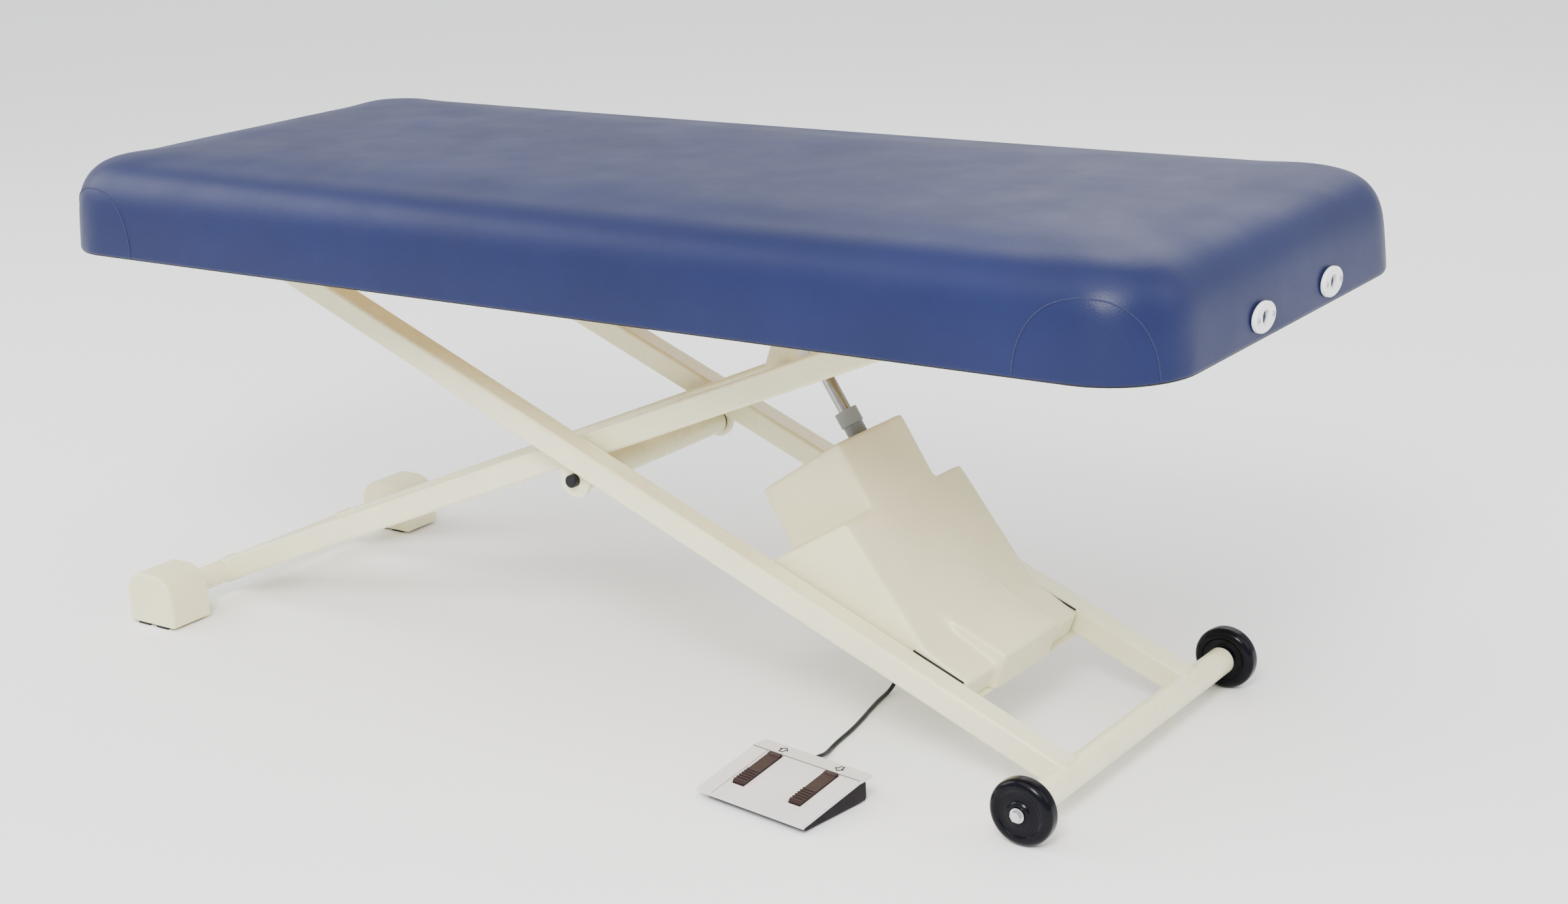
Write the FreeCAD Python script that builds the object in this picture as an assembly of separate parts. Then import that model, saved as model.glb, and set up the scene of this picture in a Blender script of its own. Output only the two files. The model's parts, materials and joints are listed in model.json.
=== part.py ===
"""Electric treatment table on a scissor lift, with its foot switch and cord.

Millimetres, +Z up. X runs along the table, from the foot caps to the wheels. The table is drawn about its
own middle plane, y = 0, with x = 0 at the middle of the deck. Every piece is then moved by ORIGIN, because
the foot switch stands in front of the table and the part's origin is the middle of the base of the whole.
"""
import FreeCAD, Part
import math
import os

V = FreeCAD.Vector
os.makedirs("parts", exist_ok=True)

# ---- driving dimensions -------------------------------------------------------------------------------
DECK_L = 1854.0           # deck, over the vinyl
DECK_W = 762.0
DECK_H = 767.0            # top of the vinyl, at rest
DECK_T = 137.0            # vinyl top to the hem
CORNER_R = 110.0          # plan corner
CROWN_R = 58.0            # soft top edge
VINYL = 1.5
SIDE_FOAM = 10.5
RAIL = 18.0               # apron rails
PLY = 15.0

ARM_ANGLE = 22.16         # rest angle of both pairs of arms, degrees
ARM = 38.0                # square arm tube
ARM_WALL = 2.5
ARM_LOW = 843.0           # along the arm, from the middle pivot to the floor end
ARM_UP = 774.0            # along the arm, from the middle pivot to the deck end
PIVOT_R = 20.0            # cross pivot tube, welded under the inner arms
PIVOT_X = -91.0
PIVOT_TUBE_Y = 163.8      # the pivot tube's end
LUG_Y = (167.8, 175.8)    # pivot lugs, under the outer arms
LUG_R = 26.0
SHAFT_R = 8.0
SHAFT_Y = 184.0
AXLE_H = 45.0             # foot tube and wheel axle above the floor
OUTER_Y = 175.0           # middle planes of the arms
INNER_Y = 133.0

FOOT_TUBE_R = 19.0
FOOT_CAP = (102.0, 77.0, 88.0)
FOOT_CAP_Y = 309.0        # outer face
FOOT_PAD_H = 5.0
AXLE_TUBE_R = 19.75
AXLE_Y = 276.0            # the axle tube's end
AXLE_PLUG = 30.0
AXLE_BOLT_R = 5.0
WHEEL_R = 45.0
WHEEL_Y = 279.0           # inner face of the wheel
WHEEL_W = 30.0
WHEEL_BORE_R = 7.5
DECK_TUBE_R = 16.0
DECK_TUBE_Y = 200.0
DECK_BOLT_R = 6.0
BRACKET_Y = (204.0, 210.0, 246.0)     # hanging plate's two faces, and the end of its foot
BRACKET_FOOT = 5.0                    # the foot's thickness
BRACKET_SCREW_REACH = 28.0
ROLLER_R = 15.0
ROLLER_TUBE_R = 14.0
ROLLER_STUB_R = 6.0
ROLLER_GAP = 0.4                      # between a roller and its channel
CHANNEL_SHAPE = (160.0, 195.0, 3.0)   # inner and outer y, wall
CHANNEL_SPARE = 12.0                  # of the channel past the roller's travel
ROLLER_TRAVEL = (-85.0, 70.0)         # of the roller in its channel
WOOD_SCREW_R = 2.5

ROD_PIN = (303.0, 186.5)              # actuator's upper pin, from the middle pivot
PIN_R = 6.0
PIN_HEAD_R = 9.0
PIN_HEAD = 4.0
LIFT_S = 313.0                        # lift cross tube, up the inner arms
GUSSET = [(-72, -35), (-47, 32), (18, 32), (28, -13), (-8, -50), (-50, -50)]   # about the upper pin
ROD_LENGTH = 420.0                    # pin to pin, at rest
ROD_SLOPE = 58.0                      # of the line from pin to pin
ROD_SET = 0.55                        # the rod stands this much steeper in its rubber bush, degrees
ROD_R = 9.5
CROSS_BAR_S = 620.0
CROSS_BAR_R = 14.0
EAR_Y = (39.0, 44.0)
ACTUATOR_TUBE_R = 14.6
EYE_BORE_R = 10.8
EYE_R = 17.0
MOTOR_R = 35.0
MOTOR_SIDE = (48.0, 38.0)             # motor axis behind the actuator and to its far side

COVER_WALL = 3.0
COVER_BOX_Y = 84.0
COVER_WIDE_Y = 153.0
COVER_PAD_Y = 77.0
COVER_BOSSES = (345.0, 585.0)         # along the arm
COVER_BOSS_Y = 145.0
COVER_SCREW_R = 2.0
TRAY_TOP = 22.0                       # tray plate, in the outer frame's own axes
SHEET = 2.0
WELL = (425.0, 578.0, -48.0, 84.0, -30.0)
GLANDS = (472.0, 540.0)               # along the arm: the switch's cord, and a spare for the mains lead
GLAND_Y = 60.0
GLAND_LENGTH = 24.0                   # below the well

SOCKET_Y = 101.6                      # headrest sockets, 203.2 apart
SOCKET_R = 9.65
SLEEVE_R = 12.5
SOCKET_UP = 28.0                      # above the hem
PLATE_T = 5.0
SOCKET_SCREW_R = 1.8
SOCKET_SCREW_REACH = 21.0             # from the socket's axis
SCREW_PROUD = 1.2                     # the screws' heads, on the plates

SWITCH = (190.0, 134.0)
SWITCH_AT = (370.0, -337.0)
SWITCH_TURN = -8.0
SWITCH_FRONT_H = 15.0
SWITCH_BACK_H = 37.0
SWITCH_STRIP = 24.0                   # depth of the level strip at the back
SHELL_T = 4.2
INNARDS_Z = 6.0                       # floor of the switch, that its domes and snap switches stand on
PEDAL_X = 50.0
PEDAL = (21.0, 70.0, 7.0)             # width, hinge to front end, thickness
PEDAL_PROUD = 2.6
PEDAL_HINGE = (36.0, 27.0)            # y and z
PEDAL_AXLE_R = 2.0
RIBS = 6                              # across each pedal's front end
RIB_PITCH = 5.0
BOOT_X = -38.0                        # the cord's boot, left of the switch's middle
BOOT_Z = 13.0
BOOT_LENGTH = 23.0
DOME_BACK = 44.0                      # from the pedal's hinge forward to its dome
DOME_GAP = 1.1                        # under the pedal, at the dome's middle

CORD_R = 3.0
CORD_ROUTE = [(318.1, 60.0, 80.0), (309.5, 61.0, 57.0), (302.5, 62.0, 35.0), (298.5, 52.5, 15.5),
              (298.5, 33.0, 4.5), (301.0, 4.0, 3.4), (308.0, -30.0, 3.4), (317.5, -68.0, 3.4),
              (326.0, -108.0, 3.4), (330.5, -145.0, 3.4), (335.0, -172.0, 3.4), (340.5, -191.0, 4.6),
              (344.8, -206.5, 7.8), (346.9, -220.5, 11.3)]
CORD_LAST_RUN = 12.0                  # straight into the boot

SIDES = (-1, 1)                       # near side, far side
THROUGH = (-400.0, 400.0)             # wider than the table, for holes right across it

# ---- worked out from them -----------------------------------------------------------------------------
ANGLE = math.radians(ARM_ANGLE)
COS, SIN = math.cos(ANGLE), math.sin(ANGLE)
HALF = ARM / 2
OFFSET = PIVOT_R + HALF               # arm's centre line above the middle pivot
PIVOT = V(PIVOT_X, 0, AXLE_H + ARM_LOW * SIN - OFFSET * COS)
HEM_Z = DECK_H - DECK_T
END_X = DECK_L / 2
SIDE_Y = DECK_W / 2
SWITCH_REACH = 0.5 * (SWITCH[0] * abs(math.sin(math.radians(SWITCH_TURN)))
                      + SWITCH[1] * math.cos(math.radians(SWITCH_TURN)))


def outer(s, t, y=0.0):
    """A point in the outer frame: s down its arms from the middle pivot, t square to them."""
    return V(PIVOT.x + s * COS + t * SIN, y, PIVOT.z - s * SIN + t * COS)


def inner(s, t, y=0.0):
    """A point in the inner frame: s up its arms from the middle pivot, t square to them."""
    return V(PIVOT.x + s * COS - t * SIN, y, PIVOT.z + s * SIN + t * COS)


FOOT = inner(-ARM_LOW, OFFSET)
AXLE = outer(ARM_LOW, OFFSET)
DECK_PIVOT = outer(-ARM_UP, OFFSET)
ROLLER = inner(ARM_UP, OFFSET)
BOARD_Z = ROLLER.z + ROLLER_R + ROLLER_GAP + CHANNEL_SHAPE[2]
FOAM_Z = BOARD_Z + PLY
SOCKET_Z = HEM_Z + SOCKET_UP
ROD_TOP = PIVOT + V(ROD_PIN[0], 0, ROD_PIN[1])
SLOPE = math.radians(ROD_SLOPE)
ROD_FOOT = ROD_TOP + V(math.cos(SLOPE), 0, -math.sin(SLOPE)) * ROD_LENGTH
SET_SLOPE = math.radians(ROD_SLOPE - ROD_SET)
GLAND_TIP = outer(GLANDS[0], WELL[4] - GLAND_LENGTH, GLAND_Y)
BACK_X = FOOT.x - FOOT_CAP[0] / 2
FRONT_Y = SWITCH_AT[1] - SWITCH_REACH
FRONT_X = END_X + PLATE_T + SCREW_PROUD
ORIGIN = V(-(BACK_X + FRONT_X) / 2, -(FRONT_Y + SIDE_Y) / 2, 0)
CHANNEL_MID_Y = (CHANNEL_SHAPE[0] + CHANNEL_SHAPE[1]) / 2
CHANNEL_X = (ROLLER.x + ROLLER_TRAVEL[0] - ROLLER_R - CHANNEL_SPARE,
             ROLLER.x + ROLLER_TRAVEL[1] + ROLLER_R + CHANNEL_SPARE)
CHANNEL_SCREWS_X = (CHANNEL_X[0] + 14, (CHANNEL_X[0] + CHANNEL_X[1]) / 2, CHANNEL_X[1] - 14)
BRACKET_MID_Y = 226.0
BRACKET_SCREWS_X = (DECK_PIVOT.x - BRACKET_SCREW_REACH, DECK_PIVOT.x + BRACKET_SCREW_REACH)


# ---- helpers ------------------------------------------------------------------------------------------
def box(x0, x1, y0, y1, z0, z1):
    """A block between two values of x, of y and of z."""
    return Part.makeBox(x1 - x0, y1 - y0, z1 - z0, V(x0, y0, z0))


def cyl(p, q, r):
    """A round bar of radius r from p to q."""
    return Part.makeCylinder(r, p.distanceToPoint(q), p, q - p)


def cyl_y(at, r, y0, y1):
    """A round bar along Y, through a point's x and z."""
    return cyl(V(at.x, y0, at.z), V(at.x, y1, at.z), r)


def ring_y(at, r, bore, y0, y1):
    """A tube along Y, of outer radius r."""
    return cyl_y(at, r, y0, y1).cut(cyl_y(at, bore, y0 - 1, y1 + 1))


def ring(p, q, r, bore):
    """A tube from p to q."""
    axis = (q - p).normalize()
    return cyl(p, q, r).cut(cyl(p - axis, q + axis, bore))


def prism_y(points, y0, y1):
    """Outline of (x, z) points, drawn out along Y."""
    ends = [V(x, y0, z) for x, z in points]
    face = Part.Face(Part.makePolygon(ends + ends[:1]))
    return face.extrude(V(0, y1 - y0, 0))


def group(pieces):
    """Separate solids that share one node."""
    return Part.makeCompound(pieces)


def both(make):
    """The same piece on the near side and on the far side."""
    return group([make(side) for side in SIDES])


def span(side, y0, y1):
    """A stretch from y0 to y1 out from the middle plane, on the given side."""
    return (y0, y1) if side > 0 else (-y1, -y0)


def tilt(shape, degrees):
    """Turns a shape drawn about the middle pivot's axis into its frame."""
    shape.Placement = FreeCAD.Placement(PIVOT, FreeCAD.Rotation(V(0, 1, 0), degrees))
    return shape


def in_outer(shape):
    """From the outer frame's own axes to the table's."""
    return tilt(shape, ARM_ANGLE)


def in_inner(shape):
    """From the inner frame's own axes to the table's."""
    return tilt(shape, -ARM_ANGLE)


def round_edges(shape, radius, along):
    """Rounds the straight edges that run along one axis."""
    edges = [e for e in shape.Edges
             if len(e.Vertexes) == 2
             and abs(abs((e.Vertexes[1].Point - e.Vertexes[0].Point).normalize().dot(along)) - 1) < 1e-6]
    return shape.makeFillet(radius, edges)


def plan(inset, z0, z1):
    """The deck's plan, in by inset, as a block with upright sides."""
    block = box(inset - END_X, END_X - inset, inset - SIDE_Y, SIDE_Y - inset, z0, z1)
    return round_edges(block, CORNER_R - inset, V(0, 0, 1))


def crowned(inset, z0, z1):
    """The deck's plan as a block whose top edge is rounded over."""
    block = plan(inset, z0, z1)
    rim = [e for e in block.Edges if abs(e.BoundBox.ZMin - z1) < 1e-6]
    return block.makeFillet(CROWN_R - inset, rim)


# ---- feet ---------------------------------------------------------------------------------------------
def foot_cap(side):
    """Arch-shaped block with a blind socket for the foot tube."""
    width, depth, height = FOOT_CAP
    y0, y1 = span(side, FOOT_CAP_Y - depth, FOOT_CAP_Y)
    block = box(FOOT.x - width / 2, FOOT.x + width / 2, y0, y1, FOOT_PAD_H, height)
    top = [e for e in block.Edges
           if abs(e.BoundBox.ZMin - height) < 1e-6 and abs(e.BoundBox.ZMax - height) < 1e-6
           and e.BoundBox.YLength > depth - 1]
    block = block.makeFillet(38, top)
    outer_face = [e for e in block.Edges
                  if abs(e.BoundBox.YMin - side * FOOT_CAP_Y) < 1e-6
                  and abs(e.BoundBox.YMax - side * FOOT_CAP_Y) < 1e-6
                  and e.BoundBox.ZMin > FOOT_PAD_H + 1]
    block = block.makeFillet(5, outer_face)
    bore = span(side, FOOT_CAP_Y - depth - 1, FOOT_CAP_Y - 11)
    return block.cut(cyl_y(FOOT, FOOT_TUBE_R + 0.05, *bore))


def foot_pads():
    """Two rubber strips under each cap."""
    pads = []
    for side in SIDES:
        for x in (-34, 8):
            depth = span(side, FOOT_CAP_Y - 72, FOOT_CAP_Y - 2)
            pads.append(box(FOOT.x + x, FOOT.x + x + 26, *depth, 0, FOOT_PAD_H))
    return group(pads)


# ---- inner frame --------------------------------------------------------------------------------------
def arm_tube(side, middle_y, s0, s1):
    """Square tube in its frame's own axes, from s0 to s1 along the arm."""
    y0, y1 = side * middle_y - HALF, side * middle_y + HALF
    low, high = OFFSET - HALF, OFFSET + HALF
    shell = round_edges(box(s0, s1, y0, y1, low, high), 5, V(1, 0, 0))
    hollow = box(s0 - 1, s1 + 1, y0 + ARM_WALL, y1 - ARM_WALL, low + ARM_WALL, high - ARM_WALL)
    return shell.cut(round_edges(hollow, 2.5, V(1, 0, 0)))


def inner_arm(side):
    """Arm of the inner frame, from the foot tube to the roller tube, its ends cut to fit them."""
    arm = in_inner(arm_tube(side, INNER_Y, 8 - ARM_LOW, ARM_UP - 8))
    arm = arm.cut(cyl_y(FOOT, FOOT_TUBE_R, *THROUGH))
    return arm.cut(cyl_y(ROLLER, ROLLER_TUBE_R, *THROUGH))


def foot_tube():
    """Round tube along the floor end of the inner frame, into the foot caps."""
    end = FOOT_CAP_Y - 12
    return ring_y(FOOT, FOOT_TUBE_R, FOOT_TUBE_R - 2.5, -end, end)


def pivot_tube():
    """Cross tube that the two frames turn about."""
    return ring_y(PIVOT, PIVOT_R, PIVOT_R - 3, -PIVOT_TUBE_Y, PIVOT_TUBE_Y)


def pivot_bushes():
    """A bush in each end of the pivot tube."""
    reach = (PIVOT_TUBE_Y - 30, PIVOT_TUBE_Y)
    return both(lambda side: ring_y(PIVOT, PIVOT_R - 3, SHAFT_R + 0.05, *span(side, *reach)))


def lift_bracket():
    """Cross tube between the inner arms, with two upright plates for the upper pin welded on."""
    base = inner(LIFT_S, OFFSET)
    reach = INNER_Y - HALF
    outline = [(ROD_TOP.x + dx, ROD_TOP.z + dz) for dx, dz in GUSSET]
    bracket = ring_y(base, 16, 13, -reach, reach)
    for side in SIDES:
        plate = round_edges(prism_y(outline, *span(side, 18, 24)), 6, V(0, 1, 0))
        bracket = bracket.fuse(plate.cut(cyl_y(base, 15, -40, 40)))
    return bracket.removeSplitter().cut(cyl_y(ROD_TOP, PIN_R, -40, 40))


def headed_pin(at, grip):
    """A pin along Y with a head at each end, its heads grip away from the middle plane."""
    reach = grip + PIN_HEAD
    pin = cyl_y(at, PIN_R, -reach, reach)
    return pin.fuse([cyl_y(at, PIN_HEAD_R, *span(side, grip, reach)) for side in SIDES]).removeSplitter()


def upper_pin():
    """Pin that joins the actuator's rod to the lift bracket."""
    return headed_pin(ROD_TOP, 24)


def roller_tube():
    """Cross tube with a turned stub at each end for the rollers."""
    tube = ring_y(ROLLER, ROLLER_TUBE_R, ROLLER_TUBE_R - 3, -158, 158)
    for side in SIDES:
        tube = tube.fuse(cyl_y(ROLLER, ROLLER_TUBE_R - 2.9, *span(side, 138, 158)))
        tube = tube.fuse(cyl_y(ROLLER, ROLLER_STUB_R, *span(side, 157, 187)))
    return tube.removeSplitter()


# ---- outer frame --------------------------------------------------------------------------------------
def outer_arm(side):
    """Arm of the outer frame, from the deck tube to the wheels' axle tube, its ends cut to fit them."""
    arm = in_outer(arm_tube(side, OUTER_Y, 8 - ARM_UP, ARM_LOW - 8))
    arm = arm.cut(cyl_y(AXLE, AXLE_TUBE_R, *THROUGH))
    return arm.cut(cyl_y(DECK_PIVOT, DECK_TUBE_R, *THROUGH))


def pivot_lugs():
    """Round-bottomed plates under the outer arms."""
    def lug(side):
        y0, y1 = span(side, *LUG_Y)
        disc = Part.makeCylinder(LUG_R, y1 - y0, V(0, y0, 0), V(0, 1, 0))
        low_half = disc.cut(box(-2 * LUG_R, 2 * LUG_R, y0 - 1, y1 + 1, 0, 2 * LUG_R))
        plate = low_half.fuse(box(-LUG_R, LUG_R, y0, y1, 0, OFFSET - HALF)).removeSplitter()
        return in_outer(plate).cut(cyl_y(PIVOT, SHAFT_R, *THROUGH))
    return both(lug)


def pivot_shaft():
    """Plain shaft through the lugs and the pivot tube."""
    return cyl_y(PIVOT, SHAFT_R, -SHAFT_Y, SHAFT_Y)


def pivot_washers():
    """A dark washer between each lug and the pivot tube."""
    return both(lambda side: ring_y(PIVOT, PIVOT_R - 1, SHAFT_R, *span(side, PIVOT_TUBE_Y + 0.4, LUG_Y[0])))


def pivot_caps():
    """Black push-on caps over the shaft's ends."""
    def cap(side):
        end = SHAFT_Y + 3.5
        skirt = cyl_y(PIVOT, SHAFT_R + 1.5, *span(side, LUG_Y[1], end))
        skirt = skirt.makeFillet(2.5, [e for e in skirt.Edges if abs(e.BoundBox.YMin - side * end) < 0.01])
        return skirt.cut(cyl_y(PIVOT, SHAFT_R, *span(side, 170, SHAFT_Y)))
    return both(cap)


def axle_tube():
    """Tube with a tapped plug welded into each end."""
    tube = ring_y(AXLE, AXLE_TUBE_R, AXLE_TUBE_R - 3, -AXLE_Y, AXLE_Y)
    for side in SIDES:
        tube = tube.fuse(cyl_y(AXLE, AXLE_TUBE_R - 2.9, *span(side, AXLE_Y - AXLE_PLUG, AXLE_Y)))
    return tube.removeSplitter().cut(cyl_y(AXLE, AXLE_BOLT_R, *THROUGH))


def wheel_bolts():
    """Shoulder bolts with hexagon heads, and a washer under each head."""
    corners = [(AXLE.x + 7.5 * math.cos(math.radians(60 * k)),
                AXLE.z + 7.5 * math.sin(math.radians(60 * k))) for k in range(6)]
    shoulder = WHEEL_Y + WHEEL_W + 0.8
    head = shoulder + 1.6
    shapes = []
    for side in SIDES:
        bolt = cyl_y(AXLE, AXLE_BOLT_R, *span(side, AXLE_Y - AXLE_PLUG, AXLE_Y))
        bolt = bolt.fuse(cyl_y(AXLE, WHEEL_BORE_R, *span(side, AXLE_Y, shoulder)))
        bolt = bolt.fuse(cyl_y(AXLE, AXLE_BOLT_R, *span(side, WHEEL_Y + WHEEL_W, head + 0.6)))
        bolt = bolt.fuse(prism_y(corners, *span(side, head, head + 5)))
        shapes.append(bolt.removeSplitter())
        shapes.append(ring_y(AXLE, 10, AXLE_BOLT_R, *span(side, shoulder, head)))
    return group(shapes)


def wheel(side):
    """Solid wheel: rounded tread, a shallow ring in each face, a hub that stands a little proud."""
    half = [(WHEEL_BORE_R + 0.05, 0), (15, 0), (17, 2.5), (30, 3), (33, 5), (36, 5), (38, 2),
            (WHEEL_R - 5, 2), (WHEEL_R - 1.5, 4), (WHEEL_R, 8)]
    profile = half + [(r, WHEEL_W - y) for r, y in reversed(half)]
    points = [V(AXLE.x, side * (WHEEL_Y + y), AXLE.z + r) for r, y in profile]
    face = Part.Face(Part.makePolygon(points + points[:1]))
    return face.revolve(V(AXLE.x, 0, AXLE.z), V(0, 1, 0), 360)


def deck_tube():
    """Cross tube at the deck end of the outer frame."""
    return ring_y(DECK_PIVOT, DECK_TUBE_R, DECK_TUBE_R - 3, -DECK_TUBE_Y, DECK_TUBE_Y)


def deck_tube_bushes():
    """A bush in each end of the deck tube, for the deck's bolts."""
    bore = DECK_BOLT_R + 0.05
    return both(lambda side: ring_y(DECK_PIVOT, DECK_TUBE_R - 3, bore, *span(side, 176, DECK_TUBE_Y)))


def cross_bar():
    """Tube between the outer arms, with two ears that hold the actuator's lower pin."""
    bar = outer(CROSS_BAR_S, OFFSET)
    reach = OUTER_Y - HALF
    turn = (bar - ROD_FOOT).normalize()
    square = V(-turn.z, 0, turn.x) * 12
    strap = [(p.x, p.z) for p in (ROD_FOOT + square, bar + square, bar - square, ROD_FOOT - square)]
    shape = cyl_y(bar, CROSS_BAR_R, -reach, reach)
    for side in SIDES:
        y0, y1 = span(side, *EAR_Y)
        shape = shape.fuse([prism_y(strap, y0, y1), cyl_y(ROD_FOOT, 13, y0, y1)])
    shape = shape.removeSplitter().cut(cyl_y(bar, CROSS_BAR_R - 3, *THROUGH))
    return shape.cut(cyl_y(ROD_FOOT, PIN_R, *THROUGH))


def lower_pin():
    """Pin that holds the actuator's gearbox between the ears."""
    return headed_pin(ROD_FOOT, EAR_Y[1])


# ---- actuator -----------------------------------------------------------------------------------------
def along(u, back=0.0, y=0.0):
    """A point on the actuator: u up its axis from the lower pin, back square to it, away from the wheels."""
    axis = V(-math.cos(SET_SLOPE), 0, math.sin(SET_SLOPE))
    square = V(-math.sin(SET_SLOPE), 0, -math.cos(SET_SLOPE))
    return ROD_FOOT + axis * u + square * back + V(0, y, 0)


def bar_block(u0, u1, back0, back1, y0, y1):
    """A block in the actuator's own axes."""
    corners = [along(u, b) for u, b in ((u0, back0), (u1, back0), (u1, back1), (u0, back1))]
    return prism_y([(p.x, p.z) for p in corners], y0, y1)


def gearbox():
    """Housing that joins the motor to the screw, with the lower pin's boss."""
    back, side = MOTOR_SIDE
    case = bar_block(-14, 52, -20, 26, -30, 30)
    case = case.fuse(bar_block(10, 52, 10, back + 32, -28, side + 30))
    case = case.fuse(cyl_y(ROD_FOOT, 15, -36, 36)).removeSplitter()
    case = case.cut(cyl_y(ROD_FOOT, PIN_R + 0.05, *THROUGH))
    return case.cut(cyl(along(14), along(60), 12))


def motor():
    """Motor can on the gearbox, with a domed end."""
    back, side = MOTOR_SIDE
    can = cyl(along(52, back, side), along(196, back, side), MOTOR_R)
    end = along(196, back, side)
    rim = [e for e in can.Edges if abs(e.BoundBox.Center.distanceToPoint(end)) < 0.5 and e.isClosed()]
    return can.makeFillet(8, rim)


def actuator_tube():
    """Outer tube that the rod slides in."""
    top = ROD_LENGTH - 108
    return ring(along(52), along(top), ACTUATOR_TUBE_R, ACTUATOR_TUBE_R - 3)


def tube_collar():
    """Light collar with the rod's seal."""
    top = ROD_LENGTH - 96
    collar = ring(along(ROD_LENGTH - 118), along(ROD_LENGTH - 108), ACTUATOR_TUBE_R + 2, ACTUATOR_TUBE_R)
    return collar.fuse(ring(along(ROD_LENGTH - 108), along(top), ACTUATOR_TUBE_R + 2,
                            ROD_R + 0.05)).removeSplitter()


def lead_screw():
    """Trapezoid screw, plain, in the gearbox and inside the rod."""
    return cyl(along(15), along(300), 4.5)


def actuator_rod():
    """Chrome tube that slides out of the actuator, with its eye."""
    body = cyl(along(200), along(ROD_LENGTH - EYE_R + 2), ROD_R)
    body = body.fuse(cyl_y(along(ROD_LENGTH), EYE_R, -13, 13)).removeSplitter()
    body = body.cut(cyl(along(199), along(ROD_LENGTH - 40), 5.2))
    return body.cut(cyl_y(along(ROD_LENGTH), EYE_BORE_R, *THROUGH))


def rod_nut():
    """Nut at the rod's lower end, on the screw."""
    return ring(along(180), along(200), ACTUATOR_TUBE_R - 3.3, 4.55)


def rod_bush():
    """Rubber between the eye and the pin. It takes up the rod's small change of slope."""
    rubber = cyl_y(along(ROD_LENGTH), EYE_BORE_R, -17, 17)
    return rubber.cut(cyl_y(ROD_TOP, PIN_R, *THROUGH))


# ---- motor cover and tray -----------------------------------------------------------------------------
def cover_form(wall):
    """The cover's outside, or with a wall its inside, in the outer frame's own axes."""
    w = wall
    rim = TRAY_TOP - 2 * w
    box_side = [(243 + 1.4 * w, 95 + 0.2 * w), (331 - 0.2 * w, 226 - 1.4 * w),
                (414 - 1.2 * w, 166 - 0.7 * w), (440 - w, 60), (346 + w, rim), (319 + w, 40)]
    wide_side = [(319 + 1.4 * w, 40 + 0.2 * w), (414, 166 - 1.5 * w), (583 - 0.5 * w, 66 - 1.1 * w),
                 (661 - w, 58 - w), (661 - w, rim), (319 + 1.4 * w, rim)]
    pad_side = [(540, 60 - w), (562, 80 - w), (668 - w, 78 - w), (672 - w, rim), (540, rim)]
    form = prism_y(wide_side, w - COVER_WIDE_Y, COVER_WIDE_Y - w)
    form = form.fuse(prism_y(box_side, w - COVER_BOX_Y, COVER_BOX_Y - w))
    return form.fuse(prism_y(pad_side, w - COVER_PAD_Y, COVER_PAD_Y - w)).removeSplitter()


def boss(s, side, r, t0, t1):
    """A round post at one of the cover's four screws, in the outer frame's own axes."""
    return Part.makeCylinder(r, t1 - t0, V(s, side * COVER_BOSS_Y, t0))


def motor_cover():
    """Thin moulded hood, open below, with a hole for the actuator tube and two notches at the low end."""
    hood = cover_form(0).cut(cover_form(COVER_WALL))
    for side in SIDES:
        for s in COVER_BOSSES:
            hood = hood.fuse(boss(s, side, 5.5, TRAY_TOP, TRAY_TOP + 14))
            hood = hood.cut(boss(s, side, COVER_SCREW_R, TRAY_TOP - 1, TRAY_TOP + 12))
        reach = CROSS_BAR_S - CROSS_BAR_R - 0.5, CROSS_BAR_S + CROSS_BAR_R + 0.5
        notch = box(*reach, *span(side, COVER_WIDE_Y - 4, COVER_WIDE_Y + 1), TRAY_TOP - 1, OFFSET)
        hood = hood.cut(notch)
    hood = in_outer(hood.removeSplitter())
    hood = hood.cut(cyl(along(235), along(330), ACTUATOR_TUBE_R + 2.8))
    return hood.cut(cyl_y(outer(CROSS_BAR_S, OFFSET), CROSS_BAR_R + 0.5, *THROUGH))


def tray():
    """Sheet pan under the cover, hung from the arms, with a well for the motor's low side."""
    s0, s1, y0, y1, floor = WELL
    low = TRAY_TOP - SHEET
    arm_face = OUTER_Y - HALF
    pan = box(322, 668, -arm_face, arm_face, low, TRAY_TOP)
    pan = pan.fuse(box(s0 - SHEET, s1 + SHEET, y0 - SHEET, y1 + SHEET, floor, TRAY_TOP))
    for side in SIDES:
        pan = pan.fuse(box(330, 570, *span(side, arm_face - SHEET, arm_face), low, OFFSET))
    pan = pan.cut(box(s0, s1, y0, y1, floor + SHEET, TRAY_TOP + 1)).removeSplitter()
    for s in GLANDS:
        pan = pan.cut(Part.makeCylinder(7, SHEET + 2, V(s, GLAND_Y, floor - 1)))
    for side in SIDES:
        for s in COVER_BOSSES:
            pan = pan.cut(boss(s, side, COVER_SCREW_R, low - 1, TRAY_TOP + 1))
    return in_outer(pan)


def cord_glands():
    """Two threaded glands through the well's floor, each with a flange and a tapered sleeve below."""
    floor = WELL[4]
    shapes = []
    for s in GLANDS:
        body = Part.makeCylinder(7, 15, V(s, GLAND_Y, floor - 7))
        flange = Part.makeCylinder(10, 7, V(s, GLAND_Y, floor - 7))
        sleeve = Part.makeCone(8, 4.6, GLAND_LENGTH - 7, V(s, GLAND_Y, floor - 7), V(0, 0, -1))
        shapes.append(body.fuse([flange, sleeve]).removeSplitter())
    return in_outer(group(shapes))


def control_box():
    """Relays and transformer in a closed box beside the motor."""
    return in_outer(round_edges(box(430, 524, 92, 142, TRAY_TOP, TRAY_TOP + 50), 3, V(0, 0, 1)))


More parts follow.
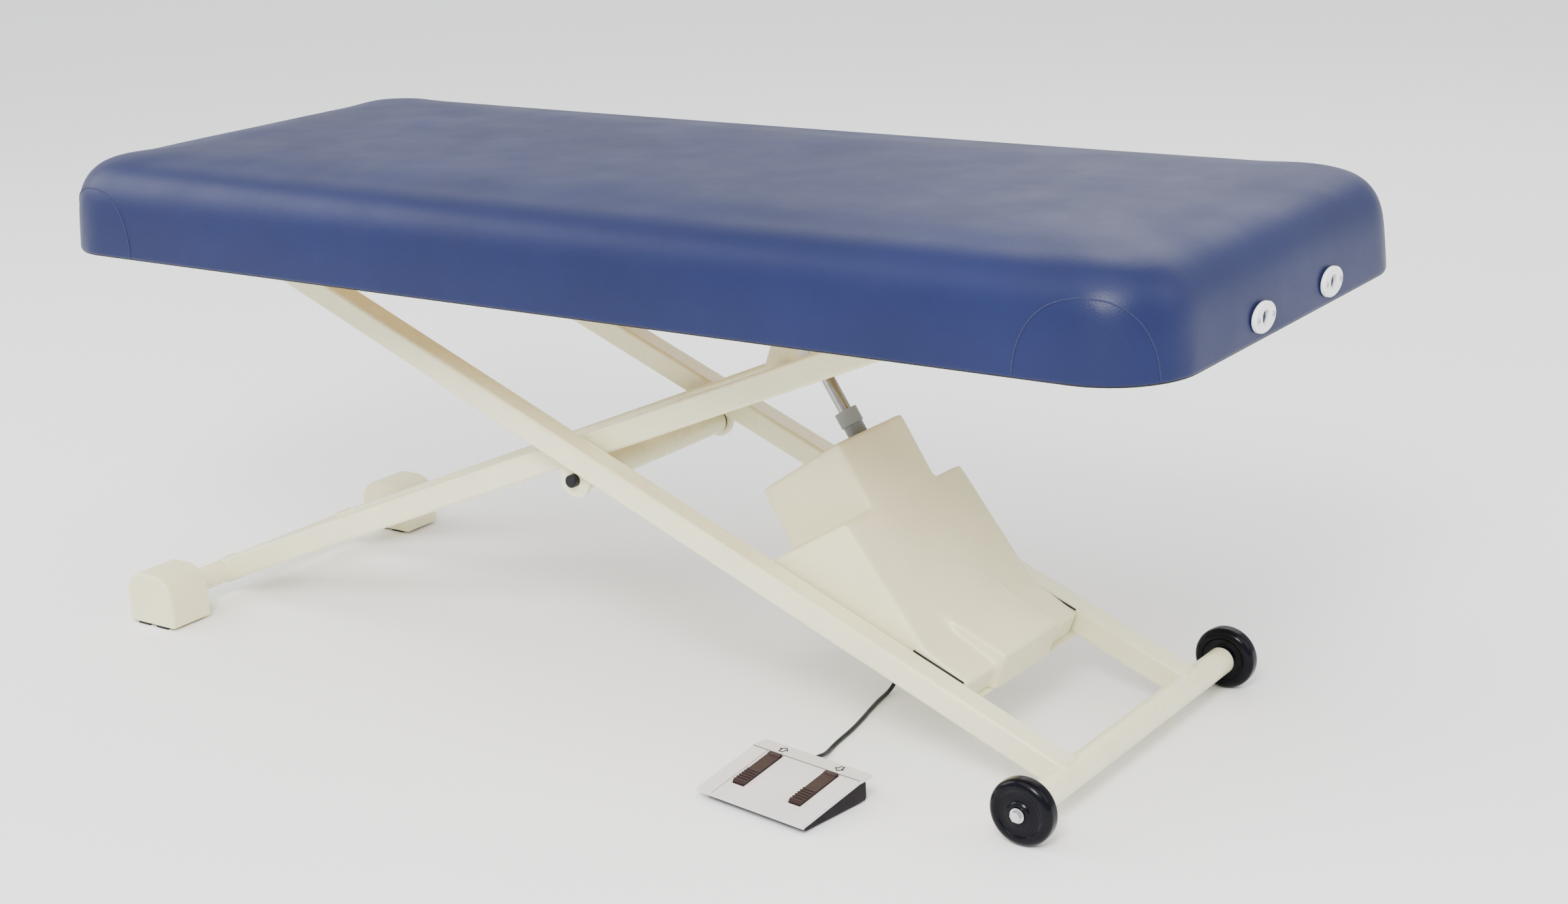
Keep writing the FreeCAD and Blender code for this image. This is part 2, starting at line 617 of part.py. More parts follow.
def cover_screws():
    """Four pan-head screws up through the tray into the cover's bosses."""
    low = TRAY_TOP - SHEET
    screws = []
    for side in SIDES:
        for s in COVER_BOSSES:
            screw = boss(s, side, COVER_SCREW_R, low, TRAY_TOP + 12)
            screws.append(screw.fuse(boss(s, side, 2 * COVER_SCREW_R, low - 3, low)).removeSplitter())
    return in_outer(group(screws))


# ---- deck ---------------------------------------------------------------------------------------------
def deck_board():
    """Plywood board, drilled for the screws of the channels and the brackets."""
    board = plan(VINYL + SIDE_FOAM, BOARD_Z, FOAM_Z)
    for side in SIDES:
        for x in CHANNEL_SCREWS_X + BRACKET_SCREWS_X:
            y = side * (CHANNEL_MID_Y if x > 0 else BRACKET_MID_Y)
            board = board.cut(cyl(V(x, y, BOARD_Z - 1), V(x, y, BOARD_Z + 11), WOOD_SCREW_R))
    return board


def foam_slab():
    """Foam on the board, rounded over at its top edge."""
    return crowned(VINYL, FOAM_Z, DECK_H - VINYL)


def vinyl_cover():
    """One sewn cover over the slab and down the sides, turned in under the rails."""
    skin = crowned(0, HEM_Z, DECK_H).cut(crowned(VINYL, HEM_Z + VINYL, DECK_H - VINYL))
    skin = skin.cut(plan(26, HEM_Z - 1, HEM_Z + 5))
    for side in SIDES:
        centre = V(END_X - 3, side * SOCKET_Y, SOCKET_Z)
        skin = skin.cut(cyl(centre, centre + V(6, 0, 0), SLEEVE_R))
    return skin


def corner_arc(end, side, r_out, wall, top):
    """A quarter of a ring about one corner's centre, from the hem up."""
    x, y = end * (END_X - CORNER_R), side * (SIDE_Y - CORNER_R)
    low = HEM_Z + VINYL
    start = {(1, 1): 0, (-1, 1): 90, (-1, -1): 180, (1, -1): 270}[(end, side)]
    blank = Part.makeCylinder(r_out, top - low, V(x, y, low), V(0, 0, 1), 90)
    blank = blank.cut(Part.makeCylinder(r_out - wall, top - low + 2, V(x, y, low - 1)))
    blank.rotate(V(x, y, 0), V(0, 0, 1), start)
    return blank


def border(inset, wall, top, bore):
    """A border round the deck: two long pieces, two ends with holes for the sockets, four corners."""
    low = HEM_Z + VINYL
    long_reach, end_reach = END_X - CORNER_R, SIDE_Y - CORNER_R
    side_y, end_x = SIDE_Y - inset, END_X - inset
    shapes = []
    for side in SIDES:
        shapes.append(box(-long_reach, long_reach, *span(side, side_y - wall, side_y), low, top))
    for end in SIDES:
        piece = box(*span(end, end_x - wall, end_x), -end_reach, end_reach, low, top)
        for y in (-SOCKET_Y, SOCKET_Y):
            if end > 0:
                piece = piece.cut(cyl(V(end_x - wall - 1, y, SOCKET_Z), V(end_x + 1, y, SOCKET_Z), bore))
        shapes.append(piece)
        for side in SIDES:
            shapes.append(corner_arc(end, side, CORNER_R - inset, wall, top))
    return group(shapes)


def edge_foam():
    """Thin foam on the outside of the apron."""
    return border(VINYL, SIDE_FOAM, FOAM_Z, SLEEVE_R)


def apron_rails():
    """Wooden rails and corner blocks under the board."""
    return border(VINYL + SIDE_FOAM, RAIL, BOARD_Z, SLEEVE_R)


def roller_channel(side):
    """C-section under the deck board, open toward the middle, with a bent tab at each end."""
    y_in, y_out, wall = CHANNEL_SHAPE
    low, high = ROLLER.z - ROLLER_R - ROLLER_GAP - wall, BOARD_Z
    section = box(*CHANNEL_X, *span(side, y_in, y_out), low, high)
    inside = CHANNEL_X[0] + wall, CHANNEL_X[1] - wall
    section = section.cut(box(*inside, *span(side, y_in - 1, y_out - wall), low + wall, high - wall))
    for x in CHANNEL_SCREWS_X:
        at = V(x, side * CHANNEL_MID_Y, low - 1)
        section = section.cut(cyl(at, at + V(0, 0, 60), WOOD_SCREW_R))
        section = section.cut(cyl(at, at + V(0, 0, 8), 2 * WOOD_SCREW_R))
    return section


def pivot_bracket(side):
    """Hanging plate with a foot that is screwed to the board."""
    x, z = DECK_PIVOT.x, DECK_PIVOT.z
    y0, y1 = span(side, *BRACKET_Y[:2])
    cheek = box(x - 18, x + 18, y0, y1, z, BOARD_Z).fuse(cyl_y(DECK_PIVOT, 18, y0, y1))
    foot = box(x - 40, x + 40, *span(side, BRACKET_Y[0], BRACKET_Y[2]), BOARD_Z - BRACKET_FOOT, BOARD_Z)
    shape = cheek.fuse(foot).removeSplitter().cut(cyl_y(DECK_PIVOT, DECK_BOLT_R, *THROUGH))
    for screw_x in BRACKET_SCREWS_X:
        at = V(screw_x, side * BRACKET_MID_Y, BOARD_Z - BRACKET_FOOT - 1)
        shape = shape.cut(cyl(at, at + V(0, 0, 8), WOOD_SCREW_R))
    return shape


def screw_up(x, y, z, head):
    """A wood screw into the board from below, its head's underside at z."""
    at = V(x, y, z)
    shank = cyl(at, V(x, y, BOARD_Z + 10), WOOD_SCREW_R)
    return shank.fuse(cyl(at - V(0, 0, head), at, 4.5)).removeSplitter()


def deck_fasteners():
    """Screws of the channels and the brackets, and the two bolts that the outer frame pivots on."""
    shapes = []
    for side in SIDES:
        for x in CHANNEL_SCREWS_X:
            shapes.append(screw_up(x, side * CHANNEL_MID_Y, BOARD_Z - CHANNEL_SHAPE[2], 0.3))
        for x in BRACKET_SCREWS_X:
            shapes.append(screw_up(x, side * BRACKET_MID_Y, BOARD_Z - BRACKET_FOOT, 3))
        shank = cyl_y(DECK_PIVOT, DECK_BOLT_R, *span(side, 178, BRACKET_Y[1]))
        head = cyl_y(DECK_PIVOT, 10, *span(side, BRACKET_Y[1], BRACKET_Y[1] + 6))
        shapes.append(shank.fuse(head).removeSplitter())
    return group(shapes)


def socket_plate(side):
    """White oval plate on the end of the deck, with the socket's mouth."""
    y = side * SOCKET_Y
    face = Part.Face(Part.Wire(Part.Ellipse(V(0, 0, 0), 30, 19).toShape()))
    plate = face.extrude(V(0, 0, PLATE_T))
    rim = [e for e in plate.Edges if abs(e.BoundBox.ZMin - PLATE_T) < 1e-6]
    plate = plate.makeFillet(2, rim)
    plate.rotate(V(0, 0, 0), V(0, 0, 1), 90)
    plate.rotate(V(0, 0, 0), V(0, 1, 0), 90)
    plate.translate(V(END_X, y, SOCKET_Z))
    plate = plate.cut(cyl(V(END_X - 1, y, SOCKET_Z), V(END_X + 6, y, SOCKET_Z), SOCKET_R))
    for reach in (-SOCKET_SCREW_REACH, SOCKET_SCREW_REACH):
        at = V(END_X - 1, y + reach, SOCKET_Z)
        plate = plate.cut(cyl(at, at + V(8, 0, 0), SOCKET_SCREW_R))
    return plate


def socket_sleeves():
    """Tubes through the end rail that the headrest's posts slide into."""
    def sleeve(side):
        y = side * SOCKET_Y
        return ring(V(END_X - 100, y, SOCKET_Z), V(END_X, y, SOCKET_Z), SLEEVE_R, SOCKET_R)
    return both(sleeve)


def socket_screws():
    """Slotted screws that hold the socket plates."""
    face = END_X + PLATE_T
    screws = []
    for y in (side * SOCKET_Y + way * SOCKET_SCREW_REACH for side in SIDES for way in SIDES):
        shank = cyl(V(END_X, y, SOCKET_Z), V(face, y, SOCKET_Z), SOCKET_SCREW_R)
        head = cyl(V(face, y, SOCKET_Z), V(FRONT_X, y, SOCKET_Z), 2 * SOCKET_SCREW_R)
        slot = box(FRONT_X - 0.7, FRONT_X + 1, y - 3, y + 3, SOCKET_Z - 0.5, SOCKET_Z + 0.5)
        screws.append(shank.fuse(head).removeSplitter().cut(slot))
    return group(screws)


def roller(side):
    """Nylon roller with rounded edges."""
    tyre = ring_y(ROLLER, ROLLER_R, ROLLER_STUB_R + 0.05, *span(side, 163, 185))
    rims = [e for e in tyre.Edges if e.isClosed() and abs(e.BoundBox.XLength - 2 * ROLLER_R) < 0.5]
    return tyre.makeFillet(1.5, rims)


# ---- foot switch --------------------------------------------------------------------------------------
def place_switch(shape):
    """From the switch's own axes, x across and y to its back, to where it stands on the floor."""
    turn = FreeCAD.Rotation(V(0, 0, 1), SWITCH_TURN)
    shape.Placement = FreeCAD.Placement(V(SWITCH_AT[0], SWITCH_AT[1], 0), turn)
    return shape


def slope_z(y):
    """Height of the switch's top at a depth y, from its front edge to its back strip."""
    front, back = -SWITCH[1] / 2, SWITCH[1] / 2 - SWITCH_STRIP
    return SWITCH_FRONT_H + (SWITCH_BACK_H - SWITCH_FRONT_H) * (y - front) / (back - front)


def prism_x(points, x0, x1):
    """Outline of (y, z) points, drawn out along X."""
    ends = [V(x0, y, z) for y, z in points]
    face = Part.Face(Part.makePolygon(ends + ends[:1]))
    return face.extrude(V(x1 - x0, 0, 0))


def switch_base():
    """Dark tray, set in from the shell all round, with posts for the pedals' stub axles."""
    w, d = SWITCH[0] / 2 - 6, SWITCH[1] / 2
    lid, bend = SWITCH_BACK_H - SHELL_T, d - SWITCH_STRIP
    side = [(-d + 10, 3), (-d + 3, slope_z(-d + 3) - SHELL_T), (bend, lid), (d - 6, lid), (d - 6, 6),
            (d - 9, 3)]
    hollow = [(-d + 14, INNARDS_Z), (-d + 14, slope_z(-d + 14)), (bend, lid + 1), (d - 9, lid + 1),
              (d - 9, INNARDS_Z)]
    body = prism_x(side, -w, w).cut(prism_x(hollow, 3 - w, w - 3))
    y, z = PEDAL_HINGE
    for x in (-PEDAL_X, PEDAL_X):
        for x0 in (x - PEDAL[0] / 2 - 4.6, x + PEDAL[0] / 2 + 0.6):
            post = box(x0, x0 + 4, y - 4, y + 4, 5, z + 4)
            body = body.fuse(post.cut(cyl(V(x0 - 1, y, z), V(x0 + 5, y, z), PEDAL_AXLE_R + 0.05)))
    boot_at = V(BOOT_X, d - 12, BOOT_Z)
    return place_switch(body.removeSplitter().cut(cyl(boot_at, boot_at + V(0, 10, 0), 6)))


def switch_shell():
    """Light top with a raised back strip and two openings for the pedals."""
    w, d = SWITCH[0] / 2, SWITCH[1] / 2
    lid, bend = SWITCH_BACK_H - SHELL_T, d - SWITCH_STRIP
    side = [(-d, SWITCH_FRONT_H - SHELL_T - 1), (-d, SWITCH_FRONT_H), (bend, SWITCH_BACK_H), (bend, lid),
            (-d + 3, slope_z(-d + 3) - SHELL_T)]
    top = prism_x(side, -w, w)
    strip = box(-w, w, bend, d, lid, SWITCH_BACK_H + 1)
    top = top.fuse(strip).removeSplitter()
    half = PEDAL[0] / 2 + 1.2
    for x in (-PEDAL_X, PEDAL_X):
        top = top.cut(box(x - half, x + half, PEDAL_HINGE[0] - PEDAL[1] - 3, PEDAL_HINGE[0] + 6.5, 0, 60))
    return place_switch(top)


def switch_feet():
    """Four round rubber feet."""
    w, d = SWITCH[0] / 2 - 18, SWITCH[1] / 2 - 30
    return place_switch(group([Part.makeCylinder(7, 3, V(x, y, 0)) for x in (-w, w) for y in (-d, d)]))


def pedal(x):
    """Ribbed lever with a stub axle on each side of its back end."""
    y, z = PEDAL_HINGE
    width, length, thick = PEDAL
    half = width / 2
    front = y - length

    def top(at):
        return slope_z(at) + PEDAL_PROUD

    side = [(y + 4, z - 3), (y + 4, top(y) - 3), (y, top(y)), (front, top(front)),
            (front, top(front) - thick), (y - 8, top(y - 8) - thick)]
    lever = prism_x(side, x - half, x + half)
    for k in range(RIBS):
        at = front + 2 + RIB_PITCH * k
        lever = lever.fuse(box(x - half, x + half, at, at + 2.4, top(at) - 3, top(at) + 1.6))
    lever = lever.fuse(cyl(V(x - half, y, z), V(x + half, y, z), 4.5))
    lever = lever.fuse(cyl(V(x - half - 4.4, y, z), V(x + half + 4.4, y, z), PEDAL_AXLE_R))
    return place_switch(lever.removeSplitter())


def dome(x):
    """Rubber dome that pushes the pedal back up."""
    y = PEDAL_HINGE[0] - DOME_BACK
    top = slope_z(y) + PEDAL_PROUD - PEDAL[2] - DOME_GAP
    return place_switch(Part.makeCone(6, 4, top - INNARDS_Z, V(x, y, INNARDS_Z)))


def microswitches():
    """Small snap switches behind each dome."""
    y = PEDAL_HINGE[0] - 26
    top = slope_z(y) + PEDAL_PROUD - PEDAL[2] - 3.5
    switches = [box(x - 6, x + 6, y - 5, y + 5, INNARDS_Z, top) for x in (-PEDAL_X, PEDAL_X)]
    return place_switch(group(switches))


def cord_boot():
    """Rubber boot where the cord enters the switch."""
    d = SWITCH[1] / 2
    inside = Part.makeCylinder(6, 6, V(BOOT_X, d - 12, BOOT_Z), V(0, 1, 0))
    flange = Part.makeCylinder(7.5, 3, V(BOOT_X, d - 6, BOOT_Z), V(0, 1, 0))
    taper = Part.makeCone(6, 4.4, BOOT_LENGTH, V(BOOT_X, d - 3, BOOT_Z), V(0, 1, 0))
    return place_switch(inside.fuse([flange, taper]).removeSplitter())


# ---- cord ---------------------------------------------------------------------------------------------
def boot_axis(out):
    """A point on the boot's axis, out from the boot's tip."""
    local = V(BOOT_X, SWITCH[1] / 2 - 3 + BOOT_LENGTH + out, BOOT_Z)
    return V(SWITCH_AT[0], SWITCH_AT[1], 0) + FreeCAD.Rotation(V(0, 0, 1), SWITCH_TURN).multVec(local)


def cord_path(route):
    """Straight runs joined by tangent arcs, each as large as its two runs allow."""
    edges = []
    start = route[0]
    for k in range(1, len(route) - 1):
        before, after = route[k - 1] - route[k], route[k + 1] - route[k]
        turn = math.pi - before.getAngle(after)
        cut = 0.45 * min(before.Length, after.Length)
        radius = cut / math.tan(turn / 2)
        into, out = before.normalize(), after.normalize()
        a, b = route[k] + into * cut, route[k] + out * cut
        middle_way = (into + out).normalize()
        centre = route[k] + middle_way * math.hypot(cut, radius)
        edges.append(Part.LineSegment(start, a).toShape())
        edges.append(Part.Arc(a, centre - middle_way * radius, b).toShape())
        start = b
    edges.append(Part.LineSegment(start, route[-1]).toShape())
    return Part.Wire(edges)


def cord():
    """The switch's cord, from the gland under the tray down to the floor and along it to the boot."""
    route = [GLAND_TIP] + [V(*p) for p in CORD_ROUTE] + [boot_axis(CORD_LAST_RUN), boot_axis(0)]
    path = cord_path(route)
    end = Part.Wire(Part.Circle(route[0], route[1] - route[0], CORD_R).toShape())
    tube = path.makePipeShell([end], True, False)
    print("cord length", round(path.Length, 1))
    return tube


# ---- every node ---------------------------------------------------------------------------------------
NODES = {
    "foot_caps": lambda: both(foot_cap),
    "foot_pads": foot_pads,
    "foot_tube": foot_tube,
    "inner_arm_near": lambda: inner_arm(-1),
    "inner_arm_far": lambda: inner_arm(1),
    "pivot_tube": pivot_tube,
    "pivot_bushes": pivot_bushes,
    "lift_bracket": lift_bracket,
    "upper_pin": upper_pin,
    "roller_tube": roller_tube,
    "roller_near": lambda: roller(-1),
    "roller_far": lambda: roller(1),
    "outer_arm_near": lambda: outer_arm(-1),
    "outer_arm_far": lambda: outer_arm(1),
    "pivot_lugs": pivot_lugs,
    "pivot_shaft": pivot_shaft,
    "pivot_washers": pivot_washers,
    "pivot_caps": pivot_caps,
    "axle_tube": axle_tube,
    "wheel_bolts": wheel_bolts,
    "wheel_near": lambda: wheel(-1),
    "wheel_far": lambda: wheel(1),
    "deck_tube": deck_tube,
    "deck_tube_bushes": deck_tube_bushes,
    "cross_bar": cross_bar,
    "lower_pin": lower_pin,
    "gearbox": gearbox,
    "motor": motor,
    "actuator_tube": actuator_tube,
    "tube_collar": tube_collar,
    "lead_screw": lead_screw,
    "actuator_rod": actuator_rod,
    "rod_nut": rod_nut,
    "rod_bush": rod_bush,
    "motor_cover": motor_cover,
    "tray": tray,
    "cord_glands": cord_glands,
    "control_box": control_box,
    "cover_screws": cover_screws,
    "deck_board": deck_board,
    "foam_slab": foam_slab,
    "edge_foam": edge_foam,
    "vinyl_cover": vinyl_cover,
    "apron_rails": apron_rails,
    "roller_channels": lambda: both(roller_channel),
    "pivot_brackets": lambda: both(pivot_bracket),
    "deck_fasteners": deck_fasteners,
    "socket_plates": lambda: both(socket_plate),
    "socket_sleeves": socket_sleeves,
    "socket_screws": socket_screws,
    "switch_base": switch_base,
    "switch_shell": switch_shell,
    "switch_feet": switch_feet,
    "pedal_up": lambda: pedal(-PEDAL_X),
    "pedal_down": lambda: pedal(PEDAL_X),
    "dome_up": lambda: dome(-PEDAL_X),
    "dome_down": lambda: dome(PEDAL_X),
    "microswitches": microswitches,
    "cord_boot": cord_boot,
    "cord": cord,
}


def main():
    """Builds every node and writes it to its own file."""
    for name, make in NODES.items():
        shape = make()
        shape.translate(ORIGIN)
        if not shape.isValid() or shape.Volume <= 0:
            raise ValueError(name + " is not a valid solid")
        shape.exportStep("parts/" + name + ".step")
        print(name, len(shape.Solids), round(shape.Volume / 1000, 1), "cm3")


main()
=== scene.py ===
"""Electric treatment table: upholstery, moulded cover, wheels, foot switch, cord, finishes and studio.

Lengths are metres unless a name or a comment says millimetres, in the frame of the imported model. Places come
from the CAD nodes' boxes and from TABLE, the point on the floor under the middle of the deck board.
"""
import bmesh
import bpy
import json
import math
from mathutils import Matrix, Vector
from mathutils.bvhtree import BVHTree


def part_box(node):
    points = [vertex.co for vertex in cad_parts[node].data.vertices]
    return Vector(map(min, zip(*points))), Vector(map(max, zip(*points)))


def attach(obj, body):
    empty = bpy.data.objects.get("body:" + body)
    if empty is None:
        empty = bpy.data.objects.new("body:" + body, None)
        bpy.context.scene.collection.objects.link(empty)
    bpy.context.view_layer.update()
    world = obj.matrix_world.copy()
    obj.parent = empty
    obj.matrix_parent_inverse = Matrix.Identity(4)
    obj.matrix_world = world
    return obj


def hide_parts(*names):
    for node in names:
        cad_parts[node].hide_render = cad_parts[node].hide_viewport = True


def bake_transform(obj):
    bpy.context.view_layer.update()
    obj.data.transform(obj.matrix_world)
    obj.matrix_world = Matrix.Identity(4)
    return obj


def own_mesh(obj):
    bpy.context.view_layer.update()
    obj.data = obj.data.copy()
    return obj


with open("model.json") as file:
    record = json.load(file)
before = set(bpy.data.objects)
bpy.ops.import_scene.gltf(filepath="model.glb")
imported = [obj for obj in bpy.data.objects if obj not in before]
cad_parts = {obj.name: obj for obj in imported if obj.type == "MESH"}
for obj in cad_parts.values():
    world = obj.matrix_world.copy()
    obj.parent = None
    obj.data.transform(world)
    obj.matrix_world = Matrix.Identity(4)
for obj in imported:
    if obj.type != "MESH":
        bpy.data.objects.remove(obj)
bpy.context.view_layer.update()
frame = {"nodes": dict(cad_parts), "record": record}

NODES = frame["nodes"]
MM = 0.001
SIDES = (-1, 1)


def middle(node):
    """The middle of a CAD node's box."""
    low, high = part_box(node)
    return (Vector(low) + Vector(high)) / 2


def size(node):
    """The lengths of a CAD node's box."""
    low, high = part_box(node)
    return Vector(high) - Vector(low)


BOARD_MIDDLE = middle("deck_board")
TABLE = Vector((BOARD_MIDDLE.x, BOARD_MIDDLE.y, 0))

# ---- camera: where it stands from the table's middle, and which way it looks -------------------------
CAMERA_AT = Vector((2.0887, -2.7164, 1.3685))
CAMERA_YAW, CAMERA_PITCH, CAMERA_ROLL = 0.61925, 0.29508, -0.04273
CAMERA_LENS = 56.1

# ---- the cord: its route from the gland under the tray, along the floor, to the switch's boot --------
CORD_D = 0.006
# millimetres from TABLE
CORD_ROUTE = [(325.767, 60.0, 98.809), (318.1, 60.0, 80.0), (309.5, 61.0, 57.0), (302.5, 62.0, 35.0),
              (298.5, 52.5, 15.5), (298.5, 33.0, 4.5), (301.0, 4.0, 3.4), (308.0, -30.0, 3.4),
              (317.5, -68.0, 3.4), (326.0, -108.0, 3.4), (330.5, -145.0, 3.4), (335.0, -172.0, 3.4),
              (340.5, -191.0, 4.6), (344.8, -206.5, 7.8), (346.9, -220.5, 11.3)]
BOOT_AXIS = (-0.038, 0.087, 0.013)       # the boot's tip, in the foot switch's own axes
CORD_LAST_RUN = 0.012

# ---- deck upholstery ----------------------------------------------------------------------------------
DECK = size("vinyl_cover")
HEM_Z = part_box("vinyl_cover")[0][2]
DECK_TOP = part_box("vinyl_cover")[1][2]
PLAN_R = 0.110
CROWN_R = 0.058
VINYL_T = 0.0015
HEM_IN = 0.026
HELD_HEIGHT = 0.110          # the hem's hold on the cover fades out over this height
CLOTH_FRAMES = 20            # the pressure works for this many frames
SWELL_SMOOTHING = 14         # times the swell is evened out
BELOW_HEM = 0.030            # the cover's form goes on this far down, and is cut at the hem
PUFF = 0.004                 # how far the cover may swell
SEAM_MIDDLE = 0.0675         # corner seam: its middle, from the corner's diagonal toward the long side
SEAM_REACH = 0.0905          # half its width round the corner
SEAM_RISE = 0.103            # the arch's height above the hem
SEAM_POWER = 2.05            # 2 is an ellipse, more is squarer
SEAM_FOOT = 0.003            # where the arch starts above the hem
SEAM_STEPS = 120
SEAM_R = 0.0010
WELT_R = 0.0021
STAPLE_IN = 0.021            # from the cover's edge in to the staples
STAPLE_HALF = 0.005
STAPLE_R = 0.0005
PLAN_ARC_STEPS = 14          # of each rounded corner in the deck's plan
PLAN_LONG_STEPS = 40
PLAN_SHORT_STEPS = 12

# ---- frame: the arms' slope, and the middles of the cross tubes ----------------------------------------
ARM_ANGLE = math.radians(22.16)
PIVOT = middle("pivot_shaft")
AXLE = middle("axle_tube")
FOOT = middle("foot_tube")
DECK_PIVOT = middle("deck_tube")
ROLLER = middle("roller_tube")
ARM_HALF = 0.019
OUTER_ARM_Y = 0.175
INNER_ARM_Y = 0.133


# ---- small tools --------------------------------------------------------------------------------------
def add(name, mesh, body, material):
    """A new piece from a mesh: linked, finished, smooth and, where a body is named, riding on it."""
    piece = bpy.data.objects.new(name, mesh)
    bpy.context.scene.collection.objects.link(piece)
    mesh.materials.clear()
    mesh.materials.append(material)
    mesh.polygons.foreach_set("use_smooth", [True] * len(mesh.polygons))
    if body:
        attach(piece, body)
    return piece


def mesh_of(name, verts, faces):
    """A mesh from points and faces."""
    mesh = bpy.data.meshes.new(name)
    mesh.from_pydata([tuple(v) for v in verts], [], faces)
    mesh.validate()
    return mesh


def loft(rings, closed=False, caps=False):
    """Vertices and faces of a surface through rings of equally many points."""
    count = len(rings[0])
    verts = [point for ring in rings for point in ring]
    rows = len(rings) if closed else len(rings) - 1
    faces = []
    for row in range(rows):
        below, above = row * count, (row + 1) % len(rings) * count
        for k in range(count):
            nxt = (k + 1) % count
            faces.append((below + k, below + nxt, above + nxt, above + k))
    if caps:
        faces.append(tuple(reversed(range(count))))
        faces.append(tuple(range(len(verts) - count, len(verts))))
    return verts, faces


def outward(mesh):
    """Makes a closed mesh's normals point out."""
    shape = bmesh.new()
    shape.from_mesh(mesh)
    bmesh.ops.recalc_face_normals(shape, faces=shape.faces)
    shape.to_mesh(mesh)
    shape.free()
    return mesh


def applied(piece, *steps):
    """Adds modifiers, given as (type, settings), and applies them to the piece's mesh."""
    for kind, settings in steps:
        modifier = piece.modifiers.new(kind, kind)
        for key, value in settings.items():
            setattr(modifier, key, value)
    baked = bpy.data.meshes.new_from_object(piece.evaluated_get(bpy.context.evaluated_depsgraph_get()))
    piece.modifiers.clear()
    old = piece.data
    piece.data = baked
    bpy.data.meshes.remove(old)
    return piece


def drop(piece):
    """Removes a helper object."""
    bpy.data.objects.remove(piece, do_unlink=True)


def helper(name, mesh):
    """An object that rides on no body and has no finish yet."""
    piece = bpy.data.objects.new(name, mesh)
    bpy.context.scene.collection.objects.link(piece)
    return piece


def tube(path, radius, count=12, closed=False, ripple=0.0, pitch=0.003):
    """Vertices and faces of a round tube along a path; a ripple makes it a row of beads."""
    rings = []
    steps = len(path)
    run = 0.0
    normal = None
    for k, point in enumerate(path):
        before = path[k - 1] if k or closed else path[0]
        after = path[(k + 1) % steps] if k + 1 < steps or closed else path[-1]
        heading = (after - before).normalized()
        if normal is None:
            normal = heading.orthogonal().normalized()
        normal = (normal - heading * normal.dot(heading)).normalized()
        across = heading.cross(normal)
        if k:
            run += (point - path[k - 1]).length
        r = radius * (1 + ripple * math.sin(2 * math.pi * run / pitch))
        rings.append([point + (normal * math.cos(a) + across * math.sin(a)) * r
                      for a in (2 * math.pi * i / count for i in range(count))])
    return loft(rings, closed=closed, caps=not closed)


def merge(parts):
    """Joins several (vertices, faces) into one."""
    verts, faces = [], []
    for part_verts, part_faces in parts:
        base = len(verts)
        verts += list(part_verts)
        faces += [tuple(base + i for i in face) for face in part_faces]
    return verts, faces


def merged(name, parts, body, finish):
    """One piece made from several (vertices, faces)."""
    verts, faces = merge(parts)
    return add(name, mesh_of(name, verts, faces), body, FINISHES[finish])


def lathe(profile, at, side, count=96):
    """Revolves (radius, y) points about a line along Y through a point. y counts outwards from TABLE."""
    rings = []
    for k in range(count):
        a = 2 * math.pi * k / count
        rings.append([Vector((at.x + r * math.cos(a), TABLE.y + side * y, at.z + r * math.sin(a)))
                      for r, y in profile])
    return loft(rings, closed=True)


def rounded(profile, radius, steps):
    """A closed outline of (a, b) points with its corners rounded."""
    points = []
    count = len(profile)
    for k in range(count):
        here = Vector(profile[k])
        to_before = Vector(profile[k - 1]) - here
        to_after = Vector(profile[(k + 1) % count]) - here
        cut = min(radius, 0.45 * to_before.length, 0.45 * to_after.length)
        start, end = here + to_before.normalized() * cut, here + to_after.normalized() * cut
        for i in range(steps + 1):
            f = i / steps
            points.append(start * (1 - f) ** 2 + here * 2 * f * (1 - f) + end * f ** 2)
    return points


def in_outer(s, t, y=0.0):
    """A point in the outer frame's own axes: s from the pivot down its arms, t square to them."""
    c, d = math.cos(ARM_ANGLE), math.sin(ARM_ANGLE)
    return Vector((PIVOT.x + s * c + t * d, TABLE.y + y, PIVOT.z - s * d + t * c))


